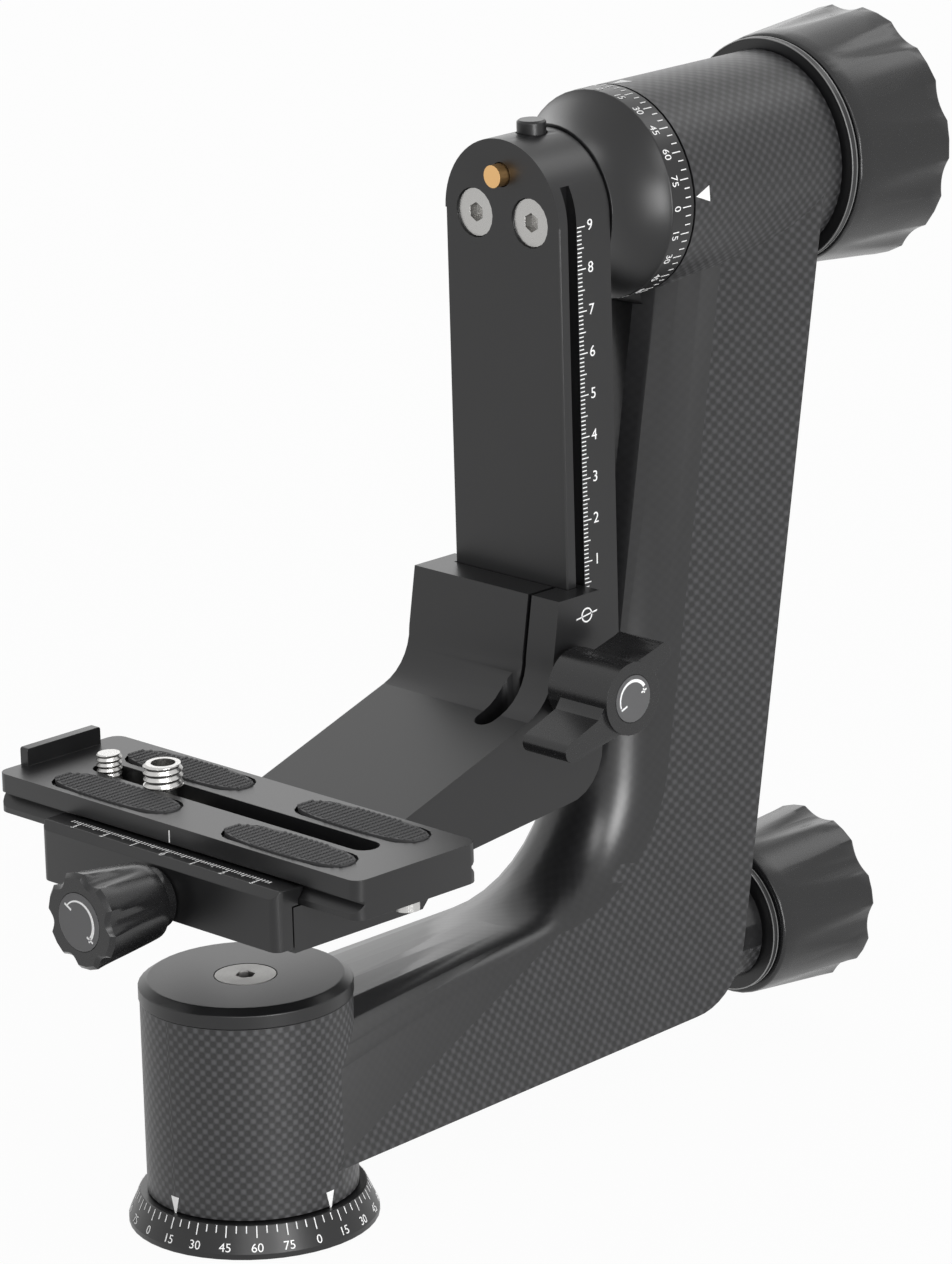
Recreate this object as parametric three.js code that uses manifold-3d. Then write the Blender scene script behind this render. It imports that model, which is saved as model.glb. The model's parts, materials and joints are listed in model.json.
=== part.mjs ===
// Gimbal tripod head, built as an assembly of separate pieces.
// Millimetres. Z is up, the pan axis is x = y = 0 and the base stands on z = 0.
// X runs along the tilt axis towards the rail and the arm, Y runs along the lens.
import * as THREE from 'three';
import { mergeVertices } from 'three/addons/utils/BufferGeometryUtils.js';
import Module from 'manifold-3d';

const wasm = await Module();
wasm.setup();

// Shared facet counts and fits
const FACETS_LARGE = 48;
const FACETS_MEDIUM = 32;
const FACETS_HIDDEN = 24;
const FACETS_SMALL = 20;
const FACETS_ROUND_END = 8;
const HALF_SHARE = 0.5;
const FIT = 0.15;
const RUN_FIT = 0.3;
const CUT_PAST = 2;
const WELD = 0.0001;

// Pan base and spindle
const BASE_RIM_R = 29.1;
const BASE_RIM_H = 1.4;
const BASE_TOP_R = 26.3;
const BASE_H = 7.5;
const PAN_START_Z = 7.9;
const SPINDLE_R = 13;
const SPINDLE_SEAT_Z = 2.9;
const SPINDLE_TOP_Z = 47.4;
const SPINDLE_STUD_R = 9;
const SPINDLE_STUD_TOP_Z = 51.6;
const INSERT_R = 8;
const INSERT_TOP_Z = 15;
const TRIPOD_THREAD_R = 4.76;
const NUT_R = 16.5;
const NUT_H = 3.8;
const NUT_SLOT_W = 3;
const NUT_SLOT_DEEP = 2.5;
const NUT_SLOTS = 4;

// Carbon arm, pan tube and tilt tube
const PAN_TUBE_R = 24.55;
const PAN_BORE_R = 20.6;
const PAN_TUBE_TOP_Z = 54;
const ARM_HALF_W = 24.1;
const ARM_RIDGE_HALF_W = 15.8;
const ARM_WALL = 2.8;
const ARM_BOTTOM_Z = 15;
const ARM_BOTTOM_RISE = 4.8;
const ARM_RIDGE_START_Z = 38.1;
const ARM_RIDGE_RISE = 10.9;
const ARM_APEX_START_Z = 52.3;
const ARM_APEX_RISE = 0.4;
const ARM_BEND_START_X = 73.4;
const ARM_RIDGE_BEND_START_X = 86;
const ARM_CORNER_START_X = 124;
const ARM_LEAN_DEG = 10;
const ARM_BACK_X = 139.8;
const ARM_RIDGE_X = 128.4;
const ARM_APEX_X = 110;
const ARM_REF_Z = 105;
const ARM_BACK_REF_Z = 28;
const ARM_TOP_Z = 214.2;
const ARM_HOLLOW_START_X = 30;
const ARM_HOLLOW_TOP_Z = 192;
const ARM_BEND_STEPS = 9;
const ARM_BULGE_STEPS = 10;
const TILT_Z = 220.08;
const TILT_TUBE_R = 24.9;
const TILT_TUBE_START_X = 127.7;
const TILT_TUBE_END_X = 178.2;
const TILT_BORE_R = 20.6;
const STUB_Z = 29.75;
const STUB_R = 14.4;
const STUB_END_X = 157.7;
const STUB_START_X = 131;
const STUB_BORE_R = 9;

// Pan bushes, cap and cap screw
const BUSH_LOW_Z = 9;
const BUSH_LOW_H = 12;
const BUSH_HIGH_Z = 37.5;
const BUSH_H = 9.9;
const CAP_R = 24.8;
const CAP_TOP_R = 22.7;
const CAP_TOP_Z = 58.7;
const CAP_CHAMFER_Z = 57.3;
const CAP_SPIGOT_Z = 50.4;
const CAP_SPIGOT_WALL = 2.6;
const CAP_FLOOR_Z = 54.4;
const CAP_SCREW_R = 7.15;
const CAP_SCREW_HEAD_H = 2.4;
const CAP_SCREW_SHANK_R = 3;
const CAP_SCREW_SHANK_Z = 53.2;
const CAP_HOLE_Z = 54.1;

// Pan lock
const PAN_SHOE_R = 5.8;
const PAN_SHOE_END_X = 27;
const PAN_SHOE_GAP = 0.7;
const ROD_R = 3.6;
const ROD_END_X = 145;
const PAN_LOCK_BUSH_START_X = 147.5;
const PAN_STUD_R = 4;
const PAN_STUD_START_X = 145.3;
const PAN_STUD_END_X = 182.5;
const PAN_COLLAR_R = 17.5;
const PAN_COLLAR_X = 158.5;
const PAN_COLLAR_T = 1.8;
const PAN_KNOB_X = 160.7;
const PAN_KNOB_END_X = 191.2;
const PAN_KNOB_R = 19.2;
const PAN_KNOB_OUT_R = 21.8;
const PAN_KNOB_FLUTES = 8;
const PAN_KNOB_FLUTE_SHARE = 0.58;
const PAN_KNOB_SCOOP = 1.7;
const PAN_KNOB_PHASE_DEG = 10.4;
const KNOB_EDGE = 1;
const KNOB_FLUTE_START_SHARE = 0.15;
const KNOB_FLUTE_STEPS = 5;
const KNOB_FLUTE_FACETS = 8;

// Tilt hub, axle and bushes
const HUB_START_X = 105.75;
const HUB_NECK_R = 19.3;
const HUB_NECK_X = 107;
const HUB_FLARE_STEPS = 6;
const HUB_RING_X = 119.3;
const HUB_RING_EDGE = 0.7;
const HUB_FLARE_POWER = 1.8;
const HUB_RING_R = 24.9;
const HUB_END_X = 127.2;
const HUB_RECESS_X = 125.4;
const AXLE_R = 12;
const AXLE_START_X = 115;
const AXLE_END_X = 165.8;
const AXLE_STUD_R = 8;
const AXLE_STUD_END_X = 170.2;
const AXLE_NUT_R = 16;
const AXLE_NUT_T = 3.6;
const TILT_BUSH_IN_X = 128.2;
const TILT_BUSH_T = 12;
const TILT_BUSH_OUT_X = 153.6;
const FRICTION_T = 2.6;
const FRICTION_R = 19.8;

// Tilt lock
const TILT_SHOE_R = 8.5;
const TILT_SHOE_T = 2.4;
const TILT_SHOE_GAP = 0.7;
const PLUG_START_X = 175.2;
const PLUG_R = 20.4;
const TILT_STUD_R = 5;
const TILT_STUD_END_X = 198.6;
const TILT_COLLAR_R = 27.5;
const TILT_COLLAR_X = 179.1;
const TILT_COLLAR_T = 1.9;
const TILT_KNOB_X = 181.5;
const TILT_KNOB_END_X = 211;
const TILT_KNOB_R = 28.2;
const TILT_KNOB_OUT_R = 30.9;
const TILT_KNOB_FLUTES = 10;
const TILT_KNOB_FLUTE_SHARE = 0.52;
const TILT_KNOB_SCOOP = 1.4;
const TILT_KNOB_PHASE_DEG = 14.9;

// Rail with its stop pin and push button
const RAIL_FRONT_X = 88.8;
const RAIL_BACK_X = 105.45;
const RAIL_HALF_W = 18.6;
const RAIL_BOTTOM_Z = 118;
const RAIL_GROOVE_X = 91.6;
const RAIL_GROOVE_END_X = 94.5;
const RAIL_GROOVE_DEEP = 3.1;
const RAIL_GROOVE_TOP_Z = 229;
const RAIL_EDGE = 0.4;
const SCREW_INSET = 0.6;
const SCREW_Y = 9;
const SCREW_HEAD_R = 5.8;
const SCREW_HEAD_H = 3.4;
const SCREW_SHANK_R = 3;
const SCREW_END_X = 113.4;
const SCREW_SOCKET_R = 2.3;
const SCREW_SOCKET_DEEP = 2.4;
const HEX_SIDES = 6;
const PIN_Z = 230.3;
const PIN_R = 2.7;
const PIN_OUT = 2.9;
const PIN_END_X = 102.7;
const PIN_TRAVEL = 2.8;
const PIN_SLOT_W = 3.4;
const BUTTON_X = 99.2;
const BUTTON_R = 3.5;
const BUTTON_EDGE = 0.5;
const BUTTON_PROUD = 2.92;
const BUTTON_HEAD_H = 4.2;
const BUTTON_TRAVEL = 2;
const BUTTON_WELL_DEEP = 3.8;
const STEM_R = 1.4;
const STEM_PAST_PIN = 1.1;
const STEM_HOLE_DEEP = 3.1;
const SPRING_R = 2.6;
const SPRING_WIRE_R = 0.18;
const SPRING_COILS = 3;
const SPRING_SIDES = 6;
const SPRING_STEPS_PER_COIL = 12;

// Carriage with the clamp cradle
const CARRIAGE_HALF_W = 24;
const CARRIAGE_TOP_Z = 133.9;
const CARRIAGE_FRONT_X = 80.5;
const CARRIAGE_BACK_X = 93.8;
const CARRIAGE_WAIST_Z = 121.6;
const CARRIAGE_WAIST_X = 78.1;
const CARRIAGE_BEND_R = 13;
const CARRIAGE_BEND_STEPS = 7;
const CARRIAGE_SLOPE_DEG = 18.5;
const CRADLE_REAR_X = 26;
const CRADLE_FLOOR_Z = 89.2;
const CRADLE_BOTTOM_Z = 78.5;
const CRADLE_FRONT_X = -20.6;
const CRADLE_CUT_X = 19;
const CRADLE_CUT_Z = 86;
const CARRIAGE_CORNER_R = 12;
const CARRIAGE_CORNER_STEPS = 6;
const CARRIAGE_BOTTOM_BACK_Z = 84.3;
const CLAMP_HALF_L = 39.6;
const CLAMP_TOP_Z = 93.76;
const SLIT_Y = 14.5;
const SLIT_W = 1.2;
const RELIEF_W = 5.6;
const RELIEF_START_X = 64.5;
const RELIEF_END_X = 77.5;
const WING_AXIS_X = 82.8;
const WING_AXIS_Z = 114.2;
const WING_STUD_R = 2.5;
const WING_STUD_END_Y = 12;

// Wing knob
const WASHER_T = 1;
const WASHER_R = 6.5;
const WING_NEAR_Y = 27;
const WING_FAR_Y = 45;
const WING_HUB_R = 8.7;
const WING_BACK_Y = 30;
const WING_LONG = 23.2;
const WING_SHORT = 16.4;
const WING_TIP_R = 2.4;
const WING_WAIST_ALONG = 10.6;
const WING_WAIST_R = 1.6;
const WING_ROOT_R = 7.6;
const WING_LEAN_DEG = 24.6;
const WING_TIP_BEND_DEG = 11.4;
const WING_LABEL_R = 5.6;
const LABEL_T = 0.5;
const LABEL_SUNK = 0.35;

// Clamp jaw, its pins and its knob
const PLATE_HALF_W = 18.8;
const JAW_FRONT_X = -26;
const JAW_EDGE = 1.8;
const JAW_BOTTOM_Z = 79.6;
const JAW_CORNER_R = 2.4;
const JAW_PIN_R = 2;
const JAW_PIN_Y = 26;
const JAW_PIN_Z = 84.3;
const JAW_PIN_START_X = -24.5;
const JAW_PIN_END_X = -8;
const JAW_TRAVEL = 3;
const CLAMP_AXIS_Z = 84.3;
const CLAMP_SCREW_R = 3;
const CLAMP_SCREW_END_X = 6;
const CLAMP_KNOB_X = -29.6;
const CLAMP_KNOB_END_X = -49.2;
const CLAMP_NECK_R = 7.2;
const CLAMP_NECK_X = -26.4;
const CLAMP_KNOB_BACK_R = 9.1;
const CLAMP_KNOB_FRONT_R = 11.3;
const CLAMP_KNOB_FLUTES = 6;
const CLAMP_KNOB_FLUTE_SHARE = 0.51;
const CLAMP_KNOB_SCOOP = 1.6;
const CLAMP_KNOB_PHASE_DEG = 50.5;
const CLAMP_KNOB_SOCKET_X = -43;
const CLAMP_LABEL_R = 6.8;

// Quick-release plate, pads, safety screws and camera screws
const PLATE_START_Y = -58.6;
const PLATE_END_Y = 62.6;
const PLATE_BOTTOM_Z = 89.5;
const PLATE_TOP_Z = 98.9;
const PLATE_SIDE_Z = 94.4;
const PLATE_GROOVE_Z = 93.1;
const PLATE_GROOVE_TOP_Z = 93.6;
const PLATE_GROOVE_DEEP = 2.3;
const PLATE_DOVETAIL_Z = 90.9;
const PLATE_CORNER_R = 3;
const LIP_HALF_W = 11.3;
const LIP_T = 2.6;
const LIP_TOP_Z = 103.1;
const LIP_CORNER_R = 0.6;
const SLOT_START_Y = -44.8;
const SLOT_END_Y = 48.4;
const SLOT_CHANNEL_PAST = 3;
const SLOT_HALF_W = 3.5;
const SLOT_CHANNEL_HALF_W = 7.2;
const SLOT_CHANNEL_Z = 94.9;
const PAD_X = 11.3;
const PAD_HALF_W = 5.6;
const PAD_START_Y = 9.2;
const PAD_END_Y = 48.6;
const PAD_TOP_Z = 99.7;
const PAD_SEAT_Z = 97.9;
const SAFETY_Y = 54.5;
const SAFETY_HEAD_R = 3;
const SAFETY_HEAD_H = 2.4;
const SAFETY_SHANK_R = 1.5;
const SAFETY_TOP_Z = 94;
const QUARTER_Y = 44.2;
const QUARTER_R = 3.12;
const QUARTER_TOP_Z = 102.8;
const THREE_EIGHTHS_Y = 25.6;
const THREE_EIGHTHS_R = 4.7;
const THREE_EIGHTHS_TOP_Z = 104.3;
const THREE_EIGHTHS_NECK_R = 3.2;
const THREE_EIGHTHS_HOLE_R = 3;
const THREE_EIGHTHS_HOLE_DEEP = 4.6;
const CAMERA_HEAD_R = 6.4;
const CAMERA_HEAD_H = 2.9;
const CAMERA_HEAD_Z = 90.4;
const CAMERA_WASHER_R = 6.8;
const CAMERA_WASHER_T = 0.9;
const CAMERA_TIP = 0.6;
const COIN_SLOT_W = 1.2;
const COIN_SLOT_DEEP = 1.2;

// Finishes of the solids
const SATIN_BLACK = new THREE.MeshStandardMaterial({ color: 0x1d1d1f, metalness: 0.5, roughness: 0.5 });
const CARBON = new THREE.MeshStandardMaterial({ color: 0x2c2c2e, metalness: 0.1, roughness: 0.45 });
const KNOB_BLACK = new THREE.MeshStandardMaterial({ color: 0x18181a, metalness: 0.4, roughness: 0.45 });
const STEEL = new THREE.MeshStandardMaterial({ color: 0xc8c8c6, metalness: 1, roughness: 0.3 });
const BRASS = new THREE.MeshStandardMaterial({ color: 0xb99558, metalness: 1, roughness: 0.35 });
const BRONZE = new THREE.MeshStandardMaterial({ color: 0x9a7040, metalness: 1, roughness: 0.45 });
const RUBBER = new THREE.MeshStandardMaterial({ color: 0x2e2e2e, metalness: 0, roughness: 0.9 });
const PLASTIC = new THREE.MeshStandardMaterial({ color: 0xd8d4c8, metalness: 0, roughness: 0.6 });
const LABEL_GREY = new THREE.MeshStandardMaterial({ color: 0x4a4a4c, metalness: 0.2, roughness: 0.5 });

const group = new THREE.Group();
group.name = 'gimbal_tripod_head';

const radians = (degrees) => THREE.MathUtils.degToRad(degrees);

// Turn a geometry into a solid for joining and cutting, facing out
function solid(geometry) {
  const bare = geometry.clone();
  bare.deleteAttribute('normal');
  bare.deleteAttribute('uv');
  const merged = mergeVertices(bare, WELD);
  const position = Float32Array.from(merged.attributes.position.array);
  const index = Uint32Array.from(merged.index.array);
  const make = (triangles) => new wasm.Manifold(
    new wasm.Mesh({ numProp: 3, vertProperties: position, triVerts: triangles }),
  );
  const first = make(index);
  if (first.volume() > 0) return first;
  const turned = index.slice();
  for (let i = 0; i < turned.length; i += 3) {
    turned[i + 1] = index[i + 2];
    turned[i + 2] = index[i + 1];
  }
  return make(turned);
}

// Put a finished solid into the group as one named node
function place(name, shape, material) {
  const out = shape.getMesh();
  const geometry = new THREE.BufferGeometry();
  const positions = new Float32Array(out.vertProperties);
  geometry.setAttribute('position', new THREE.BufferAttribute(positions, 3));
  geometry.setIndex(new THREE.BufferAttribute(new Uint32Array(out.triVerts), 1));
  geometry.computeVertexNormals();
  const mesh = new THREE.Mesh(geometry, material);
  mesh.name = name;
  group.add(mesh);
  return mesh;
}

// Turned pieces: the profile is a list of [radius, height] along the chosen axis
function turned(profile, axis, facets, centre) {
  const points = profile.map(([r, h]) => new THREE.Vector2(r, h));
  const geometry = new THREE.LatheGeometry(points, facets);
  if (axis === 'z') geometry.rotateX(Math.PI / 2);
  if (axis === 'x') geometry.rotateZ(-Math.PI / 2);
  const [x, y, z] = centre;
  geometry.translate(x, y, z);
  return solid(geometry);
}

function rod(axis, r, from, to, centre, facets) {
  return turned([[0, from], [r, from], [r, to], [0, to]], axis, facets, centre);
}

function ring(axis, rIn, rOut, from, to, centre, facets) {
  const profile = [[rIn, from], [rOut, from], [rOut, to], [rIn, to], [rIn, from]];
  return turned(profile, axis, facets, centre);
}

function block(xFrom, xTo, yFrom, yTo, zFrom, zTo) {
  const geometry = new THREE.BoxGeometry(xTo - xFrom, yTo - yFrom, zTo - zFrom);
  const middle = (a, b) => a + (b - a) * HALF_SHARE;
  geometry.translate(middle(xFrom, xTo), middle(yFrom, yTo), middle(zFrom, zTo));
  return solid(geometry);
}

// A flat outline in x and z, drawn out along y
function alongY(points, yFrom, yTo) {
  const shape = new THREE.Shape(points.map(([x, z]) => new THREE.Vector2(x, z)));
  const geometry = new THREE.ExtrudeGeometry(shape, { depth: yTo - yFrom, bevelEnabled: false });
  geometry.rotateX(Math.PI / 2);
  geometry.translate(0, yTo, 0);
  return solid(geometry);
}

// A flat outline in x and y, drawn out along z
function alongZ(points, zFrom, zTo) {
  const shape = new THREE.Shape(points.map(([x, y]) => new THREE.Vector2(x, y)));
  const geometry = new THREE.ExtrudeGeometry(shape, { depth: zTo - zFrom, bevelEnabled: false });
  geometry.translate(0, 0, zFrom);
  return solid(geometry);
}

// A flat outline in y and z, drawn out along x
function alongX(points, xFrom, xTo) {
  const shape = new THREE.Shape(points.map(([y, z]) => new THREE.Vector2(y, z)));
  const geometry = new THREE.ExtrudeGeometry(shape, { depth: xTo - xFrom, bevelEnabled: false });
  geometry.rotateX(Math.PI / 2);
  geometry.rotateZ(Math.PI / 2);
  geometry.translate(xFrom, 0, 0);
  return solid(geometry);
}

// Points of an arc in a plane, from one angle to another
function arc(a, b, r, fromDeg, toDeg, steps) {
  const points = [];
  for (let i = 0; i <= steps; i += 1) {
    const angle = radians(fromDeg + (toDeg - fromDeg) * (i / steps));
    points.push([a + r * Math.cos(angle), b + r * Math.sin(angle)]);
  }
  return points;
}

// Outline with two round ends, its length along the second coordinate
function capsule(centre, halfWidth, from, to) {
  const low = arc(centre, from + halfWidth, halfWidth, 180, 360, FACETS_ROUND_END);
  const high = arc(centre, to - halfWidth, halfWidth, 0, 180, FACETS_ROUND_END);
  return low.concat(high);
}

function roundedBox(aFrom, aTo, bFrom, bTo, r) {
  const steps = FACETS_ROUND_END * HALF_SHARE;
  return [
    ...arc(aTo - r, bFrom + r, r, -90, 0, steps),
    ...arc(aTo - r, bTo - r, r, 0, 90, steps),
    ...arc(aFrom + r, bTo - r, r, 90, 180, steps),
    ...arc(aFrom + r, bFrom + r, r, 180, 270, steps),
  ];
}

// Skin a list of equal closed rings and close both ends
function skin(rings) {
  const count = rings[0].length;
  const positions = [];
  const index = [];
  rings.forEach((points) => points.forEach((p) => positions.push(...p)));
  for (let i = 0; i + 1 < rings.length; i += 1) {
    for (let j = 0; j < count; j += 1) {
      const next = (j + 1) % count;
      const a = i * count + j;
      const b = i * count + next;
      const c = (i + 1) * count + j;
      const d = (i + 1) * count + next;
      index.push(a, b, d, a, d, c);
    }
  }
  const close = (start, flip) => {
    const flat = rings[start].map((p) => new THREE.Vector3(...p));
    const middle = flat.reduce((sum, p) => sum.add(p), new THREE.Vector3());
    middle.divideScalar(count);
    positions.push(middle.x, middle.y, middle.z);
    const hub = positions.length / 3 - 1;
    for (let j = 0; j < count; j += 1) {
      const a = start * count + j;
      const b = start * count + (j + 1) % count;
      if (flip) index.push(hub, a, b);
      else index.push(hub, b, a);
    }
  };
  close(0, false);
  close(rings.length - 1, true);
  const geometry = new THREE.BufferGeometry();
  geometry.setAttribute('position', new THREE.Float32BufferAttribute(positions, 3));
  geometry.setIndex(index);
  return solid(geometry);
}

// Knob with plain lands and scooped flutes that start pointed and widen outwards, along x
function flutedKnob(from, to, rNear, rFar, flutes, scoop, widthShare, centreZ, phase) {
  const length = to - from;
  const side = Math.sign(length);
  const nearEdge = KNOB_EDGE * HALF_SHARE;
  const stations = [[0, rNear - nearEdge, 0], [side * nearEdge, rNear, 0]];
  for (let i = 0; i < KNOB_FLUTE_STEPS; i += 1) {
    const depthShare = i / KNOB_FLUTE_STEPS;
    const alongShare = KNOB_FLUTE_START_SHARE + (1 - KNOB_FLUTE_START_SHARE) * depthShare;
    stations.push([length * alongShare, rNear + (rFar - rNear) * alongShare, depthShare]);
  }
  stations.push([length - side * KNOB_EDGE, rFar, 1], [length, rFar - KNOB_EDGE, 1]);
  // Each place round the knob, in pitches, with how far it lies across its flute
  const places = [];
  for (let k = 0; k < flutes; k += 1) {
    for (let i = 0; i <= KNOB_FLUTE_FACETS; i += 1) {
      const across = (2 * i) / KNOB_FLUTE_FACETS - 1;
      places.push([k + across * widthShare * HALF_SHARE, across]);
    }
    places.push([k + HALF_SHARE, 1]);
  }
  const rings = stations.map(([along, r, depthShare]) => places.map(([pitches, across]) => {
    const angle = radians(phase) + (pitches / flutes) * Math.PI * 2;
    const reach = r - scoop * Math.max(0, depthShare - across * across);
    return [from + along, reach * Math.cos(angle), centreZ + reach * Math.sin(angle)];
  }));
  return skin(rings);
}

// Hexagon socket cut into a screw head
function hexSocket(axis, r, from, to, centre) {
  return rod(axis, r, from, to, centre, HEX_SIDES);
}

const PAN_CENTRE = [0, 0, 0];
const TILT_CENTRE = [0, 0, TILT_Z];
const STUB_CENTRE = [0, 0, STUB_Z];
const CLAMP_CENTRE = [0, 0, CLAMP_AXIS_Z];

// Pan base with the tripod thread
const baseProfile = [
  [0, 0], [BASE_RIM_R, 0], [BASE_RIM_R, BASE_RIM_H], [BASE_TOP_R, BASE_H], [0, BASE_H],
];
const base = turned(baseProfile, 'z', FACETS_LARGE, PAN_CENTRE)
  .subtract(rod('z', SPINDLE_R + FIT, SPINDLE_SEAT_Z, BASE_H + CUT_PAST, PAN_CENTRE, FACETS_LARGE))
  .subtract(rod('z', INSERT_R + FIT, -CUT_PAST, BASE_H, PAN_CENTRE, FACETS_MEDIUM));
place('pan_base', base, SATIN_BLACK);

const insert = ring('z', TRIPOD_THREAD_R, INSERT_R, 0, INSERT_TOP_Z, PAN_CENTRE, FACETS_MEDIUM);
place('tripod_thread_insert', insert, STEEL);

const spindleProfile = [
  [0, SPINDLE_SEAT_Z], [SPINDLE_R, SPINDLE_SEAT_Z], [SPINDLE_R, SPINDLE_TOP_Z],
  [SPINDLE_STUD_R, SPINDLE_TOP_Z], [SPINDLE_STUD_R, SPINDLE_STUD_TOP_Z], [0, SPINDLE_STUD_TOP_Z],
];
const spindle = turned(spindleProfile, 'z', FACETS_LARGE, PAN_CENTRE)
  .subtract(rod('z', INSERT_R + FIT, 0, INSERT_TOP_Z + FIT, PAN_CENTRE, FACETS_MEDIUM));
place('pan_spindle', spindle, STEEL);

function slottedNut(axis, rIn, rOut, from, to, centre, facets) {
  let nut = ring(axis, rIn, rOut, from, to, centre, facets);
  const [, , z] = centre;
  for (let i = 0; i < NUT_SLOTS; i += 1) {
    const long = axis === 'z'
      ? block(rOut - NUT_SLOT_DEEP, rOut + CUT_PAST, -NUT_SLOT_W, NUT_SLOT_W, from - CUT_PAST, to + CUT_PAST)
      : block(from - CUT_PAST, to + CUT_PAST, -NUT_SLOT_W, NUT_SLOT_W, rOut - NUT_SLOT_DEEP, rOut + CUT_PAST);
    const turn = (360 / NUT_SLOTS) * i;
    const cut = axis === 'z' ? long.rotate([0, 0, turn]) : long.rotate([turn, 0, 0]).translate([0, 0, z]);
    nut = nut.subtract(cut);
  }
  return nut;
}

const NUT_START_Z = SPINDLE_TOP_Z + FIT;
const spindleNut = slottedNut(
  'z', SPINDLE_STUD_R + FIT, NUT_R, NUT_START_Z, NUT_START_Z + NUT_H, PAN_CENTRE, FACETS_MEDIUM,
);
place('pan_spindle_nut', spindleNut, STEEL);

// Carbon arm: one D-shaped shell that bends up from the pan tube to the tilt tube.
// Its sides lean in on the way out, so the round nose is narrower than the back.
function armShell(inset, startX, topZ) {
  const lean = Math.tan(radians(ARM_LEAN_DEG));
  const turnShare = Math.tan(radians((90 - ARM_LEAN_DEG) * HALF_SHARE));
  const halfW = ARM_HALF_W - inset;
  // One edge line: level from the start, a bend, then a leaning line up
  const edge = (bendX, levelZ, rise, lineX, lineZ, side) => {
    const endZ = levelZ + rise;
    const cornerX = lineX + (endZ - lineZ) * lean + side * inset;
    const level = endZ - side * inset;
    const tangent = cornerX - bendX;
    const r = tangent / turnShare;
    const levelAt = (x) => levelZ - side * inset + (rise * x) / bendX;
    const points = [[startX, levelAt(startX)]];
    for (let i = 0; i <= ARM_BEND_STEPS; i += 1) {
      const angle = radians((90 - ARM_LEAN_DEG) * (i / ARM_BEND_STEPS));
      points.push([bendX + r * Math.sin(angle), level + r * (1 - Math.cos(angle))]);
    }
    points.push([lineX + (topZ - lineZ) * lean + side * inset, topZ]);
    return points;
  };
  const outer = edge(ARM_CORNER_START_X, ARM_BOTTOM_Z, ARM_BOTTOM_RISE, ARM_BACK_X, ARM_BACK_REF_Z, -1);
  const ridge = edge(ARM_RIDGE_BEND_START_X, ARM_RIDGE_START_Z, ARM_RIDGE_RISE, ARM_RIDGE_X, ARM_REF_Z, 1);
  const apex = edge(ARM_BEND_START_X, ARM_APEX_START_Z, ARM_APEX_RISE, ARM_APEX_X, ARM_REF_Z, 1);
  const rings = outer.map((o, i) => {
    const r = ridge[i];
    const a = apex[i];
    const taperShare = Math.min(1, r[0] / ARM_RIDGE_BEND_START_X);
    const ridgeHalfW = halfW - (ARM_HALF_W - ARM_RIDGE_HALF_W) * taperShare;
    const points = [[o[0], -halfW, o[1]]];
    for (let j = 0; j <= ARM_BULGE_STEPS; j += 1) {
      const angle = Math.PI * (j / ARM_BULGE_STEPS);
      const lift = Math.sin(angle);
      const x = r[0] + (a[0] - r[0]) * lift;
      const z = r[1] + (a[1] - r[1]) * lift;
      points.push([x, -ridgeHalfW * Math.cos(angle), z]);
    }
    points.push([o[0], halfW, o[1]]);
    return points;
  });
  return skin(rings);
}

const panTube = rod('z', PAN_TUBE_R, PAN_START_Z, PAN_TUBE_TOP_Z, PAN_CENTRE, FACETS_LARGE);
const tiltTube = rod('x', TILT_TUBE_R, TILT_TUBE_START_X, TILT_TUBE_END_X, TILT_CENTRE, FACETS_LARGE);
const stub = rod('x', STUB_R, STUB_START_X, STUB_END_X, STUB_CENTRE, FACETS_MEDIUM);
const hollow = armShell(ARM_WALL, ARM_HOLLOW_START_X, ARM_HOLLOW_TOP_Z);
const beyondTilt = block(
  TILT_TUBE_START_X - HUB_RING_R, TILT_TUBE_START_X, -HUB_RING_R, HUB_RING_R,
  TILT_Z - HUB_RING_R - CUT_PAST, TILT_Z + HUB_RING_R,
);
const carbonArm = armShell(0, 0, ARM_TOP_Z)
  .subtract(beyondTilt)
  .add(panTube)
  .add(tiltTube)
  .add(stub)
  .subtract(hollow)
  .subtract(rod('z', PAN_BORE_R, 0, PAN_TUBE_TOP_Z + CUT_PAST, PAN_CENTRE, FACETS_LARGE))
  .subtract(rod(
    'x', TILT_BORE_R, TILT_TUBE_START_X - CUT_PAST, TILT_TUBE_END_X + CUT_PAST, TILT_CENTRE, FACETS_LARGE,
  ))
  .subtract(rod('x', STUB_BORE_R, STUB_START_X, STUB_END_X + CUT_PAST, STUB_CENTRE, FACETS_MEDIUM))
  .subtract(rod('x', PAN_SHOE_R + FIT, SPINDLE_R, ARM_HOLLOW_START_X + CUT_PAST, STUB_CENTRE, FACETS_SMALL));
place('carbon_arm', carbonArm, CARBON);

// Pan bushes, one below and one above the brake
const lowBush = ring(
  'z', SPINDLE_R + FIT, PAN_BORE_R - FIT, BUSH_LOW_Z, BUSH_LOW_Z + BUSH_LOW_H, PAN_CENTRE, FACETS_HIDDEN,
);
place('lower_pan_bush', lowBush, BRONZE);
const highBush = ring(
  'z', SPINDLE_R + FIT, PAN_BORE_R - FIT, BUSH_HIGH_Z, BUSH_HIGH_Z + BUSH_H, PAN_CENTRE, FACETS_HIDDEN,
);
place('upper_pan_bush', highBush, BRONZE);

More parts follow.
